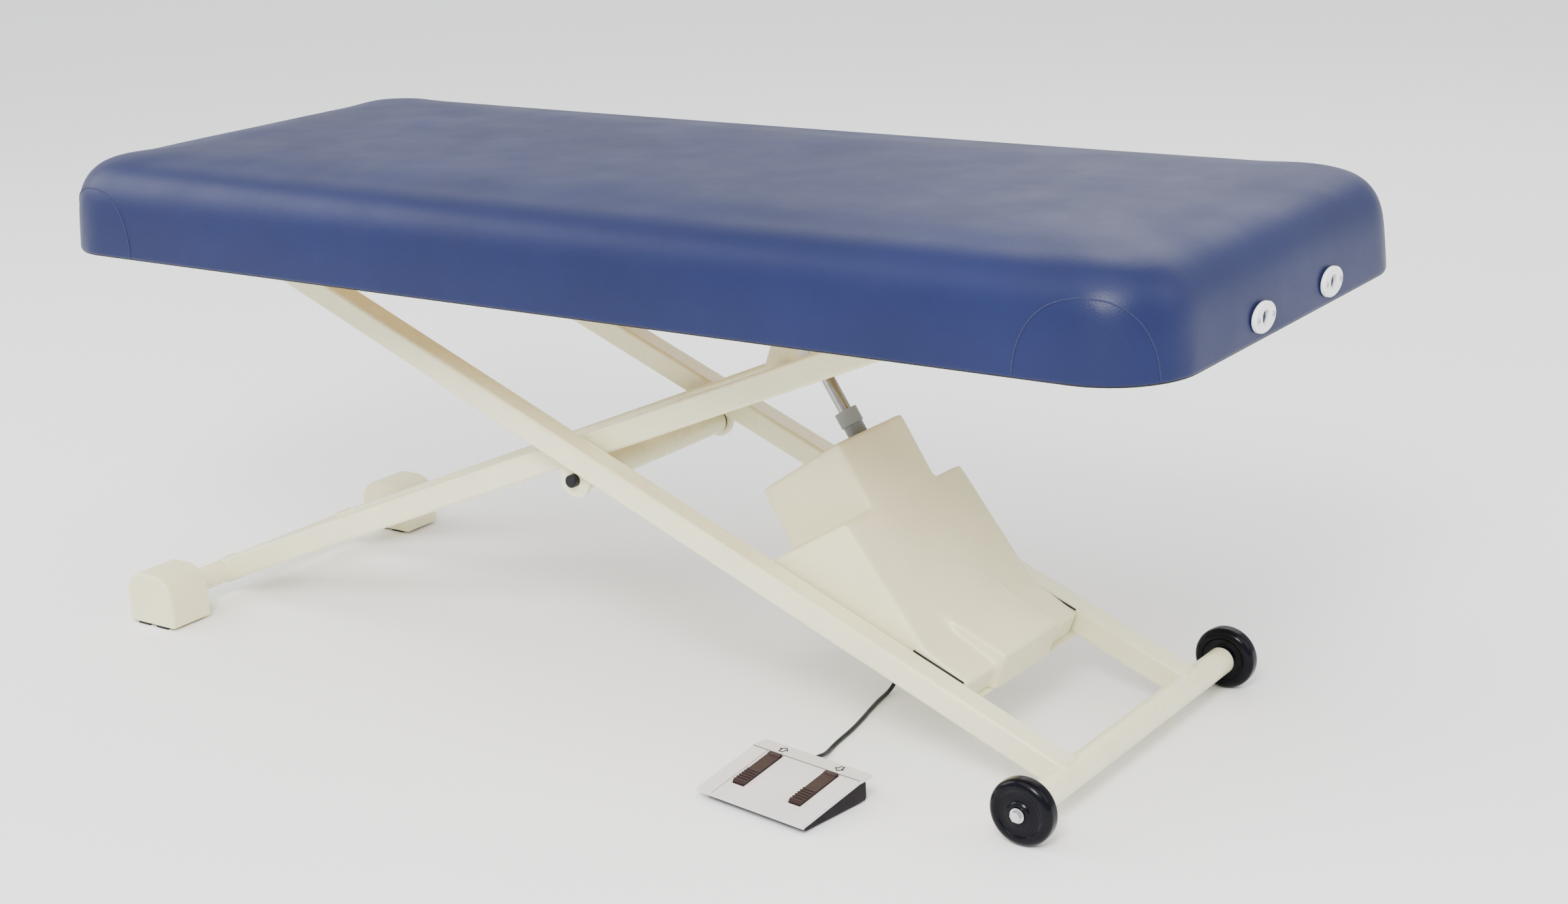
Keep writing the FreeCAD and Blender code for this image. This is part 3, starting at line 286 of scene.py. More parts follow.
# ---- finishes -----------------------------------------------------------------------------------------
class Finish:
    """A Principled material whose colour, roughness and bump vary with the place on the object."""

    def __init__(self, name, colour, roughness, metallic=0.0, **sockets):
        self.material = bpy.data.materials.new(name)
        self.material.use_nodes = True
        self.material.diffuse_color = (*colour, 1)
        self.nodes = self.material.node_tree.nodes
        self.links = self.material.node_tree.links
        self.shader = self.nodes["Principled BSDF"]
        self.shader.inputs["Base Color"].default_value = (*colour, 1)
        self.shader.inputs["Roughness"].default_value = roughness
        self.shader.inputs["Metallic"].default_value = metallic
        for socket, value in sockets.items():
            self.shader.inputs[socket.replace("_", " ")].default_value = value
        self.place = self.nodes.new("ShaderNodeTexCoord").outputs["Object"]
        self.height = None

    def stretched(self, scale):
        """The place, scaled apart along each axis."""
        mapping = self.nodes.new("ShaderNodeMapping")
        mapping.inputs["Scale"].default_value = scale
        self.links.new(self.place, mapping.inputs["Vector"])
        return mapping.outputs["Vector"]

    def noise(self, scale, detail=3.0, rough=0.55, stretch=None):
        """Cloudy noise, scale of it to the metre."""
        node = self.nodes.new("ShaderNodeTexNoise")
        node.inputs["Scale"].default_value = scale
        node.inputs["Detail"].default_value = detail
        node.inputs["Roughness"].default_value = rough
        self.links.new(self.stretched(stretch) if stretch else self.place, node.inputs["Vector"])
        return node.outputs["Fac"]

    def cells(self, scale, feature="SMOOTH_F1"):
        """Distance to the nearest of many scattered points, as in leather grain."""
        node = self.nodes.new("ShaderNodeTexVoronoi")
        node.feature = feature
        node.inputs["Scale"].default_value = scale
        self.links.new(self.place, node.inputs["Vector"])
        return node.outputs["Distance"]

    def bands(self, scale, direction, distortion):
        """Parallel waves."""
        node = self.nodes.new("ShaderNodeTexWave")
        node.bands_direction = direction
        node.inputs["Scale"].default_value = scale
        node.inputs["Distortion"].default_value = distortion
        node.inputs["Detail"].default_value = 3.0
        self.links.new(self.place, node.inputs["Vector"])
        return node.outputs["Fac"]

    def colour(self, factor, stops):
        """Colour by a factor, through (place, colour) stops."""
        ramp = self.nodes.new("ShaderNodeValToRGB")
        elements = ramp.color_ramp.elements
        while len(elements) < len(stops):
            elements.new(0.5)
        for element, (place, value) in zip(elements, stops):
            element.position = place
            element.color = (*value, 1)
        self.links.new(factor, ramp.inputs["Fac"])
        self.links.new(ramp.outputs["Color"], self.shader.inputs["Base Color"])
        return self

    def roughness(self, factor, low, high):
        """Roughness from low to high over the middle of a factor's range."""
        spread = self.nodes.new("ShaderNodeMapRange")
        spread.inputs["From Min"].default_value = 0.3
        spread.inputs["From Max"].default_value = 0.7
        spread.inputs["To Min"].default_value = low
        spread.inputs["To Max"].default_value = high
        self.links.new(factor, spread.inputs["Value"])
        self.links.new(spread.outputs["Result"], self.shader.inputs["Roughness"])
        return self

    def bump(self, factor, distance, strength=1.0):
        """Adds one layer of relief, distance metres deep."""
        node = self.nodes.new("ShaderNodeBump")
        node.inputs["Distance"].default_value = distance
        node.inputs["Strength"].default_value = strength
        self.links.new(factor, node.inputs["Height"])
        if self.height:
            self.links.new(self.height, node.inputs["Normal"])
        self.height = node.outputs["Normal"]
        self.links.new(self.height, self.shader.inputs["Normal"])
        return self


def shade(colour, factor):
    """A colour made darker or lighter."""
    return tuple(min(1.0, channel * factor) for channel in colour)


def vinyl():
    """Coated upholstery fabric: fine leather grain, faint clouding, a soft sheen."""
    blue = (0.0082, 0.0128, 0.060)
    made = Finish("vinyl_blue", blue, 0.42, Specular_IOR_Level=0.22, Sheen_Weight=0.02, Sheen_Roughness=0.4)
    made.colour(made.noise(5.0, 4.0), [(0.30, shade(blue, 0.88)), (0.70, shade(blue, 1.12))])
    made.roughness(made.noise(9.0, 4.0), 0.38, 0.47)
    made.bump(made.cells(620.0), 0.00022, 0.7)
    made.bump(made.noise(1500.0, 2.0), 0.00008, 0.6)
    return made.bump(made.noise(7.0, 2.0), 0.0016, 0.35).material


def thread():
    """Sewing thread with its twist."""
    blue = (0.010, 0.016, 0.070)
    made = Finish("seam_thread", blue, 0.7)
    made.colour(made.noise(900.0), [(0.3, shade(blue, 0.6)), (0.7, shade(blue, 1.6))])
    return made.bump(made.bands(700.0, "DIAGONAL", 0.5), 0.0002).material


def paint(name, cream, gloss=0.28):
    """Powder coat: slight orange peel, faint dust and rubbing marks."""
    made = Finish(name, cream, gloss, Coat_Weight=0.30, Coat_Roughness=0.16)
    made.colour(made.noise(14.0, 6.0, 0.6),
                [(0.25, shade(cream, 0.93)), (0.55, cream), (0.80, shade(cream, 1.04))])
    made.roughness(made.noise(40.0, 5.0), gloss - 0.06, gloss + 0.10)
    made.bump(made.noise(420.0, 2.0), 0.00010, 0.6)
    return made.bump(made.noise(60.0, 3.0, stretch=(1.0, 6.0, 1.0)), 0.00008, 0.5).material


def moulded(name, tone, gloss=0.5, grain=900.0, depth=0.00010, shine=0.45):
    """Moulded plastic: fine spark-eroded grain and very slight flow marks."""
    made = Finish(name, tone, gloss, Specular_IOR_Level=shine)
    made.colour(made.noise(11.0, 5.0), [(0.3, shade(tone, 0.95)), (0.7, shade(tone, 1.03))])
    made.roughness(made.noise(70.0, 4.0), gloss - 0.06, gloss + 0.08)
    made.bump(made.noise(grain, 2.0), depth, 0.6)
    return made.bump(made.noise(18.0, 2.0), 0.0006, 0.25).material


def glossy_black(name):
    """Polished black nylon, a little scuffed."""
    made = Finish(name, (0.002, 0.002, 0.004), 0.16, Specular_IOR_Level=0.12, Coat_Weight=0.03,
                  Coat_Roughness=0.08)
    made.colour(made.noise(50.0, 5.0), [(0.35, (0.001, 0.001, 0.003)), (0.8, (0.004, 0.004, 0.007))])
    made.roughness(made.noise(120.0, 6.0, 0.7), 0.12, 0.26)
    return made.bump(made.noise(260.0, 3.0), 0.00006, 0.4).material


def rubber(name, tone=(0.011, 0.011, 0.012), gloss=0.62):
    """Matt black rubber with a fine grain."""
    made = Finish(name, tone, gloss, Specular_IOR_Level=0.25)
    made.colour(made.noise(45.0, 5.0), [(0.3, shade(tone, 0.7)), (0.75, shade(tone, 1.7))])
    made.roughness(made.noise(90.0), gloss - 0.08, gloss + 0.10)
    return made.bump(made.noise(1100.0, 2.0), 0.00012, 0.7).material


def metal(name, tone, gloss, brushed=None, depth=0.00003):
    """Bare or plated metal. Brushed stretches its marks along one axis."""
    made = Finish(name, tone, gloss, metallic=1.0)
    marks = made.noise(220.0, 5.0, 0.7, stretch=brushed)
    made.colour(made.noise(60.0, 4.0), [(0.3, shade(tone, 0.84)), (0.7, shade(tone, 1.10))])
    made.roughness(marks, gloss * 0.75, gloss * 1.35)
    return made.bump(marks, depth, 0.6).material


def wood(name, tone):
    """Sawn wood: grain in long bands along X."""
    made = Finish(name, tone, 0.68, Specular_IOR_Level=0.3)
    grain = made.noise(55.0, 6.0, 0.65, stretch=(0.06, 1.0, 1.0))
    made.colour(grain, [(0.30, shade(tone, 0.55)), (0.50, tone), (0.72, shade(tone, 1.30))])
    made.roughness(grain, 0.58, 0.78)
    return made.bump(grain, 0.0003, 0.6).material


def foam():
    """Yellow open-cell foam."""
    tone = (0.72, 0.62, 0.36)
    made = Finish("foam_open_cell", tone, 0.95, Specular_IOR_Level=0.1)
    # the pores, the dimples of the bump below, are painted darker: painted shade in the pores
    made.colour(made.cells(500.0, "F1"), [(0.0, shade(tone, 0.6)), (0.5, tone)])
    return made.bump(made.cells(500.0, "F1"), 0.0006, 0.9).material


CREAM = (0.79, 0.765, 0.50)
WARM_CREAM = (0.77, 0.72, 0.465)
FINISHES = {
    "vinyl": vinyl(),
    "frame_paint": paint("frame_paint", CREAM),
    "steel_tray": paint("steel_tray", shade(CREAM, 0.92), 0.42),
    "cover_plastic": moulded("cover_plastic", WARM_CREAM, 0.34, 700.0),
    "foot_plastic": moulded("foot_plastic", shade(WARM_CREAM, 1.01), 0.46, 800.0),
    "rubber_black": rubber("rubber_black"),
    "cord_black": rubber("cord_black", (0.007, 0.007, 0.009), 0.42),
    "wheel_black": glossy_black("wheel_black"),
    "black_plastic": moulded("black_plastic", (0.008, 0.008, 0.010), 0.45, shine=0.2),
    "zinc": metal("zinc", (0.64, 0.65, 0.66), 0.34),
    "chrome_rod": metal("chrome_rod", (0.34, 0.33, 0.32), 0.16, (1.0, 30.0, 1.0), 0.00001),
    "actuator_grey": paint("actuator_grey", (0.150, 0.160, 0.165), 0.36),
    "collar_grey": moulded("collar_grey", (0.220, 0.232, 0.238), 0.42),
    "cast_alloy": metal("cast_alloy", (0.52, 0.53, 0.54), 0.48, None, 0.00020),
    "bronze": metal("bronze", (0.60, 0.40, 0.20), 0.35),
    "plywood": wood("plywood", (0.56, 0.40, 0.22)),
    "rail_wood": wood("rail_wood", (0.62, 0.47, 0.28)),
    "foam": foam(),
    "nylon_white": moulded("nylon_white", (0.86, 0.86, 0.85), 0.36, 1400.0, 0.00004),
    "switch_light": moulded("switch_light", (0.64, 0.60, 0.585), 0.48, 1200.0, 0.00008),
    "switch_dark": moulded("switch_dark", (0.009, 0.006, 0.009), 0.50, 1200.0, shine=0.15),
    "pedal_brown": moulded("pedal_brown", (0.034, 0.020, 0.019), 0.42, 1500.0, 0.00006, shine=0.25),
    "thread": thread(),
    # painted shade: this dark grey stands in for the shade in the foot switch's groove and under its back
    # strip
    "groove_shade_grey": moulded("groove_shade_grey", (0.12, 0.105, 0.10), 0.6, 1200.0),
}
SOFT_EDGES = {               # millimetres
    "pivot_lugs": 0.8, "lift_bracket": 0.8, "gearbox": 1.5, "tray": 0.6, "cross_bar": 0.6, "control_box": 0.8,
    "wheel_bolts": 0.5, "socket_plates": 0.4, "pivot_brackets": 0.6, "roller_channels": 0.5, "pedal_up": 0.4,
    "pedal_down": 0.4, "switch_base": 0.6, "apron_rails": 0.8, "deck_board": 0.8, "cord_glands": 0.3,
    "upper_pin": 0.5, "lower_pin": 0.5, "foot_pads": 0.8,
}


def dress_cad():
    """Gives every CAD node its finish, and softens the sharp edges of some."""
    for entry in frame["record"]["subparts"]:
        node = NODES[entry["node"]]
        node.data.materials.clear()
        node.data.materials.append(FINISHES[entry["material_slot"]])
    for name, width in SOFT_EDGES.items():
        bevel = NODES[name].modifiers.new("softened", "BEVEL")
        bevel.width = width * MM
        bevel.segments = 2
        bevel.limit_method = "ANGLE"
        bevel.angle_limit = math.radians(40)
        bevel.harden_normals = False


# ---- deck ---------------------------------------------------------------------------------------------
def plan_ring(inset, z):
    """The deck's rounded plan, in by inset, at height z. Always the same number of points."""
    radius = max(PLAN_R - inset, 0.004)
    half_x, half_y = DECK.x / 2 - inset, DECK.y / 2 - inset
    points = []
    for quarter, (sx, sy) in enumerate(((1, 1), (-1, 1), (-1, -1), (1, -1))):
        centre = Vector((sx * (half_x - radius), sy * (half_y - radius)))
        for k in range(PLAN_ARC_STEPS + 1):
            a = math.pi / 2 * (quarter + k / PLAN_ARC_STEPS)
            points.append(centre + radius * Vector((math.cos(a), math.sin(a))))
        steps = PLAN_LONG_STEPS if quarter % 2 == 0 else PLAN_SHORT_STEPS
        nx, ny = ((-1, 1), (-1, -1), (1, -1), (1, 1))[quarter]
        nxt = Vector((nx * (half_x - radius), ny * (half_y - radius)))
        a = math.pi / 2 * (quarter + 1)
        end = nxt + radius * Vector((math.cos(a), math.sin(a)))
        start = points[-1]
        points += [start.lerp(end, k / steps) for k in range(1, steps)]
    return [Vector((TABLE.x + p.x, TABLE.y + p.y, z)) for p in points]


def deck_form(shrink):
    """Closed crowned form of the padded deck, in by shrink everywhere but at the hem."""
    low = HEM_Z - BELOW_HEM
    crown = DECK_TOP - shrink
    profile = [(0.30, low), (0.10, low), (0.030, low), (0.0, low)]
    profile += [(0.0, HEM_Z), (shrink * 0.4, HEM_Z + 0.020), (shrink * 0.8, HEM_Z + 0.045)]
    steps = 10
    for k in range(steps + 1):
        a = math.pi / 2 * k / steps
        profile.append((shrink + CROWN_R * (1 - math.cos(a)), crown - CROWN_R + CROWN_R * math.sin(a)))
    profile += [(0.10, crown), (0.16, crown), (0.23, crown), (0.30, crown)]
    rings = [plan_ring(inset, z) for inset, z in profile]
    verts, faces = loft(rings, caps=True)
    return outward(mesh_of("deck_form", verts, faces))


def inflate(piece, cap):
    """Cloth under slight pressure, held at the hem. The swell is capped, then evened out over the cover."""
    group = piece.vertex_groups.new(name="held")
    for vertex in piece.data.vertices:
        height = (vertex.co.z - HEM_Z) / HELD_HEIGHT
        if height < 1:
            group.add([vertex.index], min(1.0, 1.0 - height), "REPLACE")
    start = [vertex.co.copy() for vertex in piece.data.vertices]
    modifier = piece.modifiers.new("cloth", "CLOTH")
    cloth = modifier.settings
    cloth.quality = 4
    cloth.mass = 0.3
    cloth.tension_stiffness = 25
    cloth.compression_stiffness = 25
    cloth.bending_stiffness = 3
    cloth.use_pressure = True
    cloth.uniform_pressure_force = 4
    cloth.vertex_group_mass = "held"
    cloth.effector_weights.gravity = 0
    modifier.collision_settings.use_collision = False
    for number in range(1, CLOTH_FRAMES + 1):
        bpy.context.scene.frame_set(number)
    moved = piece.evaluated_get(bpy.context.evaluated_depsgraph_get()).data
    steps = [vertex.co - before for before, vertex in zip(start, moved.vertices)]
    steps = [step * min(1.0, cap / max(step.length, cap)) for step in steps]
    for _ in range(SWELL_SMOOTHING):
        sums = [step.copy() for step in steps]
        counts = [1] * len(steps)
        for edge in piece.data.edges:
            a, b = edge.vertices
            sums[a] += steps[b]
            sums[b] += steps[a]
            counts[a] += 1
            counts[b] += 1
        steps = [total / count for total, count in zip(sums, counts)]
    piece.modifiers.clear()
    for vertex, before, step in zip(piece.data.vertices, start, steps):
        vertex.co = before + step
    bpy.context.scene.frame_set(1)


def inward(point):
    """Unit vector from a point on the deck's side toward its inside, in plan."""
    at = point - TABLE
    core_x, core_y = DECK.x / 2 - PLAN_R, DECK.y / 2 - PLAN_R
    core = Vector((max(-core_x, min(core_x, at.x)), max(-core_y, min(core_y, at.y)), at.z))
    return (core - at).normalized()


def turn_in(piece):
    """Cuts the cover off level just above the hem and turns it in under the rails, round a small bend."""
    shape = bmesh.new()
    shape.from_mesh(piece.data)
    bend = ((0.0008, 0.0018), (0.0020, 0.0007))
    cut_z = HEM_Z + sum(drop_by for _, drop_by in bend)
    bmesh.ops.bisect_plane(shape, geom=shape.verts[:] + shape.edges[:] + shape.faces[:],
                           plane_co=(0, 0, cut_z), plane_no=(0, 0, 1), clear_inner=True)
    for inset, drop_by in bend + ((HEM_IN, 0.0),):
        rim = [edge for edge in shape.edges if edge.is_boundary]
        made = bmesh.ops.extrude_edge_only(shape, edges=rim)["geom"]
        for vertex in (part for part in made if isinstance(part, bmesh.types.BMVert)):
            vertex.co += inward(vertex.co) * inset
            vertex.co.z -= drop_by
    bmesh.ops.recalc_face_normals(shape, faces=shape.faces)
    shape.to_mesh(piece.data)
    shape.free()


def upholstery():
    """The vinyl cover over its foam, blown up as cloth, turned in below and given its thickness."""
    piece = add("deck_upholstery", deck_form(PUFF), None, FINISHES["vinyl"])
    voxel = 0.009
    applied(piece, ("REMESH", {"mode": "VOXEL", "voxel_size": voxel, "use_smooth_shade": True}),
            ("SMOOTH", {"factor": 0.5, "iterations": 6}))
    inflate(piece, PUFF * 1.5)
    applied(piece, ("SMOOTH", {"factor": 0.5, "iterations": 3}))
    turn_in(piece)
    applied(piece, ("SUBSURF", {"levels": 1, "render_levels": 1}),
            ("SOLIDIFY", {"thickness": VINYL_T, "offset": -1.0}))
    piece.data.materials.clear()
    piece.data.materials.append(FINISHES["vinyl"])
    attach(piece, "deck")
    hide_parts("vinyl_cover", "foam_slab", "edge_foam")
    return piece


def corner_seams(cover):
    """A sewn arch round each corner, one beaded line of stitches laid on the cover."""
    tree = BVHTree.FromObject(cover, bpy.context.evaluated_depsgraph_get())
    quarter = PLAN_R * math.pi / 2
    parts = []
    for sx in SIDES:
        for sy in SIDES:
            path = []
            for k in range(SEAM_STEPS + 1):
                a = math.pi * k / SEAM_STEPS
                wide = math.copysign(abs(math.cos(a)) ** (2 / SEAM_POWER), math.cos(a))
                run = quarter / 2 - SEAM_MIDDLE - SEAM_REACH * wide
                z = HEM_Z + SEAM_FOOT + SEAM_RISE * abs(math.sin(a)) ** (2 / SEAM_POWER)
                turn = min(max(run / quarter, 0), 1) * math.pi / 2
                straight = min(run, 0), max(run - quarter, 0)
                x = DECK.x / 2 - PLAN_R + PLAN_R * math.sin(turn) + straight[0]
                y = DECK.y / 2 - PLAN_R + PLAN_R * math.cos(turn) - straight[1]
                probe = Vector((TABLE.x + sx * x, TABLE.y + sy * y, z))
                path.append(tree.find_nearest(probe)[0])
            parts.append(tube(path, SEAM_R, 8, ripple=0.2, pitch=0.004))
    seam = merged("corner_seams", parts, "deck", "thread")


def hem_welt():
    """Dark edge strip where the cover turns under."""
    strip = tube(plan_ring(0.004, HEM_Z + 0.0005), WELT_R, 10, closed=True)
    welt = merged("hem_welt", [strip], "deck", "rubber_black")


def staples():
    """Wire staples that hold the hem to the rails, with their legs up."""
    ring = plan_ring(STAPLE_IN, HEM_Z - 0.0002)
    low = Vector((0, 0, -0.0006))
    up = Vector((0, 0, 0.0012))
    parts = []
    for k in range(0, len(ring), 2):
        here, after = ring[k], ring[(k + 1) % len(ring)]
        reach = (after - here).normalized() * STAPLE_HALF
        wire = [here - reach + up, here - reach * 0.96 + low, here + reach * 0.96 + low, here + reach + up]
        parts.append(tube(wire, STAPLE_R, 6))
    pieces = merged("hem_staples", parts, "deck", "zinc")


# ---- welds --------------------------------------------------------------------------------------------
BEAD = {"count": 10, "ripple": 0.14, "pitch": 0.0042}
ARM_BEAD_R = 0.0024
LUG_BEAD_R = 0.0018
PIVOT_BEAD_R = 0.0022
BEAD_STEP = 0.000805         # about this far between the rings of a straight bead
ON_TUBE = 0.985              # how near a bead goes to the tube's edge, as a share of its radius
LUG_TOP = 0.0202             # from the pivot up to where the lugs meet the outer arms
LUG_FACES = (0.1676, 0.176)  # the beads' places across the table, beside each lug's faces
LUG_BEAD_HALF = 0.025
PIVOT_TUBE_TOP = 0.0195      # from the pivot up to where its tube meets the inner arms
PIVOT_BEAD_APART = 0.0055    # each bead's distance from the pivot along the arm
PIVOT_BEAD_HALF = 0.018


def weld_round(tube_at, radius, along, arm_y):
    """Bead where a square arm's end meets a round cross tube. along points from the tube up the arm."""
    square = Vector((along.z, 0, -along.x))
    outline = rounded([(-1, -1), (1, -1), (1, 1), (-1, 1)], 0.25, 5)
    path = []
    for k, corner in enumerate(outline):
        nxt = outline[(k + 1) % len(outline)]
        steps = max(1, int((nxt - corner).length / 0.12))
        for i in range(steps):
            p = corner.lerp(nxt, i / steps) * ARM_HALF
            t = max(-radius * ON_TUBE, min(radius * ON_TUBE, p.y))
            back = math.sqrt(radius ** 2 - t ** 2)
            path.append(tube_at + along * back + square * t + Vector((0, arm_y + p.x, 0)))
    return tube(path, ARM_BEAD_R, closed=True, **BEAD)


def straight_bead(middle_at, reach, radius):
    """Bead along a line, from its middle by reach each way."""
    a, b = middle_at - reach, middle_at + reach
    steps = int((b - a).length / BEAD_STEP)
    return tube([a.lerp(b, k / steps) for k in range(steps + 1)], radius, **BEAD)


def welds():
    """Weld beads of both frames."""
    c, d = math.cos(ARM_ANGLE), math.sin(ARM_ANGLE)
    up_outer, up_inner = Vector((-c, 0, d)), Vector((c, 0, d))
    pivot = Vector((PIVOT.x, TABLE.y, PIVOT.z))
    outer_parts, inner_parts = [], []
    for side in SIDES:
        outer_parts.append(weld_round(AXLE, size("axle_tube").z / 2, up_outer, side * OUTER_ARM_Y))
        outer_parts.append(weld_round(DECK_PIVOT, size("deck_tube").z / 2, -up_outer, side * OUTER_ARM_Y))
        inner_parts.append(weld_round(FOOT, size("foot_tube").z / 2, up_inner, side * INNER_ARM_Y))
        inner_parts.append(weld_round(ROLLER, size("roller_tube").z / 2, -up_inner, side * INNER_ARM_Y))
        for y in LUG_FACES:
            seat = in_outer(0, LUG_TOP, side * y)
            outer_parts.append(straight_bead(seat, -up_outer * LUG_BEAD_HALF, LUG_BEAD_R))
        for way in SIDES:
            seat = pivot + Vector((-d, 0, c)) * PIVOT_TUBE_TOP + up_inner * PIVOT_BEAD_APART * way
            seat.y += side * INNER_ARM_Y
            inner_parts.append(straight_bead(seat, Vector((0, side * PIVOT_BEAD_HALF, 0)), PIVOT_BEAD_R))
    merged("welds_outer", outer_parts, "outer_frame", "frame_paint")
    merged("welds_inner", inner_parts, "inner_frame", "frame_paint")


# ---- wheels -------------------------------------------------------------------------------------------
FACE_R = 0.0345              # the face's outer radius, where the shoulder starts
FACE_IN = 0.0013             # how far the face lies in at that radius
SHOULDER = 0.0095            # the shoulder's width


def wheel(node, side):
    """Glossy moulded wheel: round-shouldered tread, dished face with a ring, plain hub."""
    low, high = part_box(node)
    inner_y = min(abs(low[1] - TABLE.y), abs(high[1] - TABLE.y))
    width = high[1] - low[1]
    radius = (high[2] - low[2]) / 2
    face = [(0.0076, 0.0003), (0.0078, 0.0), (0.0145, 0.0), (0.0155, 0.0006), (0.0165, 0.0022),
            (0.0180, 0.0030), (0.0290, 0.0034), (0.0305, 0.0031), (0.0315, 0.0018), (0.0325, 0.0014),
            (FACE_R, FACE_IN)]
    steps = 12
    for k in range(1, steps + 1):
        a = math.pi / 2 * k / steps
        face.append((FACE_R + (radius - FACE_R) * math.sin(a), FACE_IN + SHOULDER * (1 - math.cos(a))))
    profile = face + [(r, width - y) for r, y in reversed(face)]
    verts, faces = lathe([(r, inner_y + y) for r, y in profile], AXLE, side)
    mesh = outward(mesh_of(node + "_moulded", verts, faces))
    piece = add(node + "_moulded", mesh, node, FINISHES["wheel_black"])
    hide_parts(node)


# ---- motor cover --------------------------------------------------------------------------------------
COVER_WALL = 0.003
COVER_FOOT = 0.0224          # where the cover stands on its tray, up from the pivot
# three prisms across the frame: half width, and outline of (s, t) in millimetres
HOOD_SIDES = [
    (0.153, [(319, 40), (414, 166), (583, 66), (661, 58), (661, 16), (319, 16)]),
    (0.084, [(243, 95), (331, 226), (414, 166), (440, 60), (346, 16), (319, 40)]),
    (0.077, [(540, 60), (562, 80), (668, 78), (672, 16), (540, 16)])]
CROSS_BAR_S = 0.620
CROSS_BAR_T = 0.039
BAR_HOLE_R = 0.0147
ROD_HOLE_GAP = 0.0012        # room round the actuator's collar
# the black strips of painted shade in the slot beside the arms: their place square to the arms, their place
# across, their radius
SLOT_SHADE_T = 0.0566
SLOT_SHADE_Y = 0.1546
SLOT_SHADE_R = 0.0013


def prism(outline, half_width):
    """Closed prism across the frame from an outline of (s, t) in millimetres."""
    rings = [[in_outer(s * MM, t * MM, y) for s, t in outline] for y in (-half_width, half_width)]
    return loft(rings, caps=True)


def cutter(name, start, end, radius):
    """A round bar to cut a hole with."""
    verts, faces = tube([start, start.lerp(end, 0.5), end], radius, 48)
    return helper(name, outward(mesh_of(name, verts, faces)))


def motor_cover():
    """Soft-edged moulded hood, hollow, with the actuator's opening and the cross bar's holes."""
    verts, faces = merge([prism(outline, half) for half, outline in HOOD_SIDES])
    piece = add("motor_hood", outward(mesh_of("motor_hood", verts, faces)), None, FINISHES["cover_plastic"])
    voxel = 0.0028
    rounds = 32
    applied(piece, ("REMESH", {"mode": "VOXEL", "voxel_size": voxel, "use_smooth_shade": True}),
            ("SMOOTH", {"factor": 0.5, "iterations": rounds}))
    shape = bmesh.new()
    shape.from_mesh(piece.data)
    up = in_outer(0, 1) - in_outer(0, 0)
    bmesh.ops.bisect_plane(shape, geom=shape.verts[:] + shape.edges[:] + shape.faces[:],
                           plane_co=in_outer(0.5, COVER_FOOT), plane_no=up, clear_inner=True)
    shape.to_mesh(piece.data)
    shape.free()
    applied(piece, ("SOLIDIFY", {"thickness": COVER_WALL, "offset": -1.0}))
    collar = middle("tube_collar")
    collar_r = size("tube_collar").y / 2
    axis = (collar - middle("actuator_tube")).normalized()
    bar = in_outer(CROSS_BAR_S, CROSS_BAR_T)
    across = Vector((0, 0.2, 0))
    holes = [cutter("hole_rod", collar - axis * 0.075, collar + axis * 0.02, collar_r + ROD_HOLE_GAP),
             cutter("hole_bar", bar - across, bar + across, BAR_HOLE_R)]
    for hole in holes:
        applied(piece, ("BOOLEAN", {"operation": "DIFFERENCE", "solver": "EXACT", "object": hole}))
        drop(hole)
    piece.data.materials.clear()
    piece.data.materials.append(FINISHES["cover_plastic"])
    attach(piece, "outer_frame")
    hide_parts("motor_cover")


def slot_shade_strips():
    """Black strips in the slot between the hood's low end and the arms: painted shade that darkens the slot.
    """
    parts = []
    for side in SIDES:
        line = [in_outer(s, SLOT_SHADE_T, side * SLOT_SHADE_Y) for s in (0.572, 0.600, 0.628, 0.655)]
        parts.append(tube(line, SLOT_SHADE_R, 10))
    painted_slot_shade = merged("slot_shade_strips", parts, "outer_frame", "rubber_black")


# ---- foot switch: its own axes, x across and y to its back ---------------------------------------------
SWITCH_AT = Vector((0.370, -0.337, 0))   # from TABLE
SWITCH_TURN = math.radians(-8.0)
SWITCH_D = 0.134
SWITCH_STRIP = 0.024         # depth of the level strip along its back
SWITCH_BACK_H = 0.037
SWITCH_FRONT_H = 0.015
PEDAL_X = 0.050
PEDAL_HINGE_Y = 0.036
DOME_FORWARD = 0.044         # from the pedal's hinge forward to its dome
# a dome's outline: radius in millimetres, share of its height
DOME_OUTLINE = [(6.0, 0.0), (6.0, 0.07), (4.7, 0.10), (4.3, 0.20), (5.2, 0.32), (5.2, 0.38), (4.0, 0.48),
                (4.0, 0.54), (4.7, 0.64), (4.7, 0.69), (3.6, 0.80), (3.6, 0.86), (3.9, 0.92), (3.9, 1.0)]
CAP_HALF = (0.0105, 0.00375)             # half a hinge cap's width and depth
CAP_Y = 0.03675              # its middle
ARROW_R = 0.0008


def in_switch(x, y, z):
    """A point in the foot switch's own axes."""
    c, d = math.cos(SWITCH_TURN), math.sin(SWITCH_TURN)
    return TABLE + SWITCH_AT + Vector((x * c - y * d, x * d + y * c, z))


def slope_z(y):
    """Height of the switch's sloping top."""
    rise = (SWITCH_BACK_H - SWITCH_FRONT_H) / (SWITCH_D - SWITCH_STRIP)
    return SWITCH_FRONT_H + rise * (y + SWITCH_D / 2)


def switch_shade_lines():
    """Painted shade as thin dark grey tubes: one in the groove beside the left edge, one under the back
    strip's overhang.
    """
    half = SWITCH_D / 2
    step_y = half - SWITCH_STRIP
    left = [in_switch(-0.068, y, slope_z(y) + 0.0001) for y in (0.0006 - half, 0, step_y - 0.0006)]
    back = [in_switch(x, step_y - 0.0002, SWITCH_BACK_H + 0.0003) for x in (-0.0948, 0, 0.0948)]
    lines = merged("switch_shade_lines", [tube(left, 0.0004, 8), tube(back, 0.0006, 8)], "foot_switch", "groove_shade_grey")


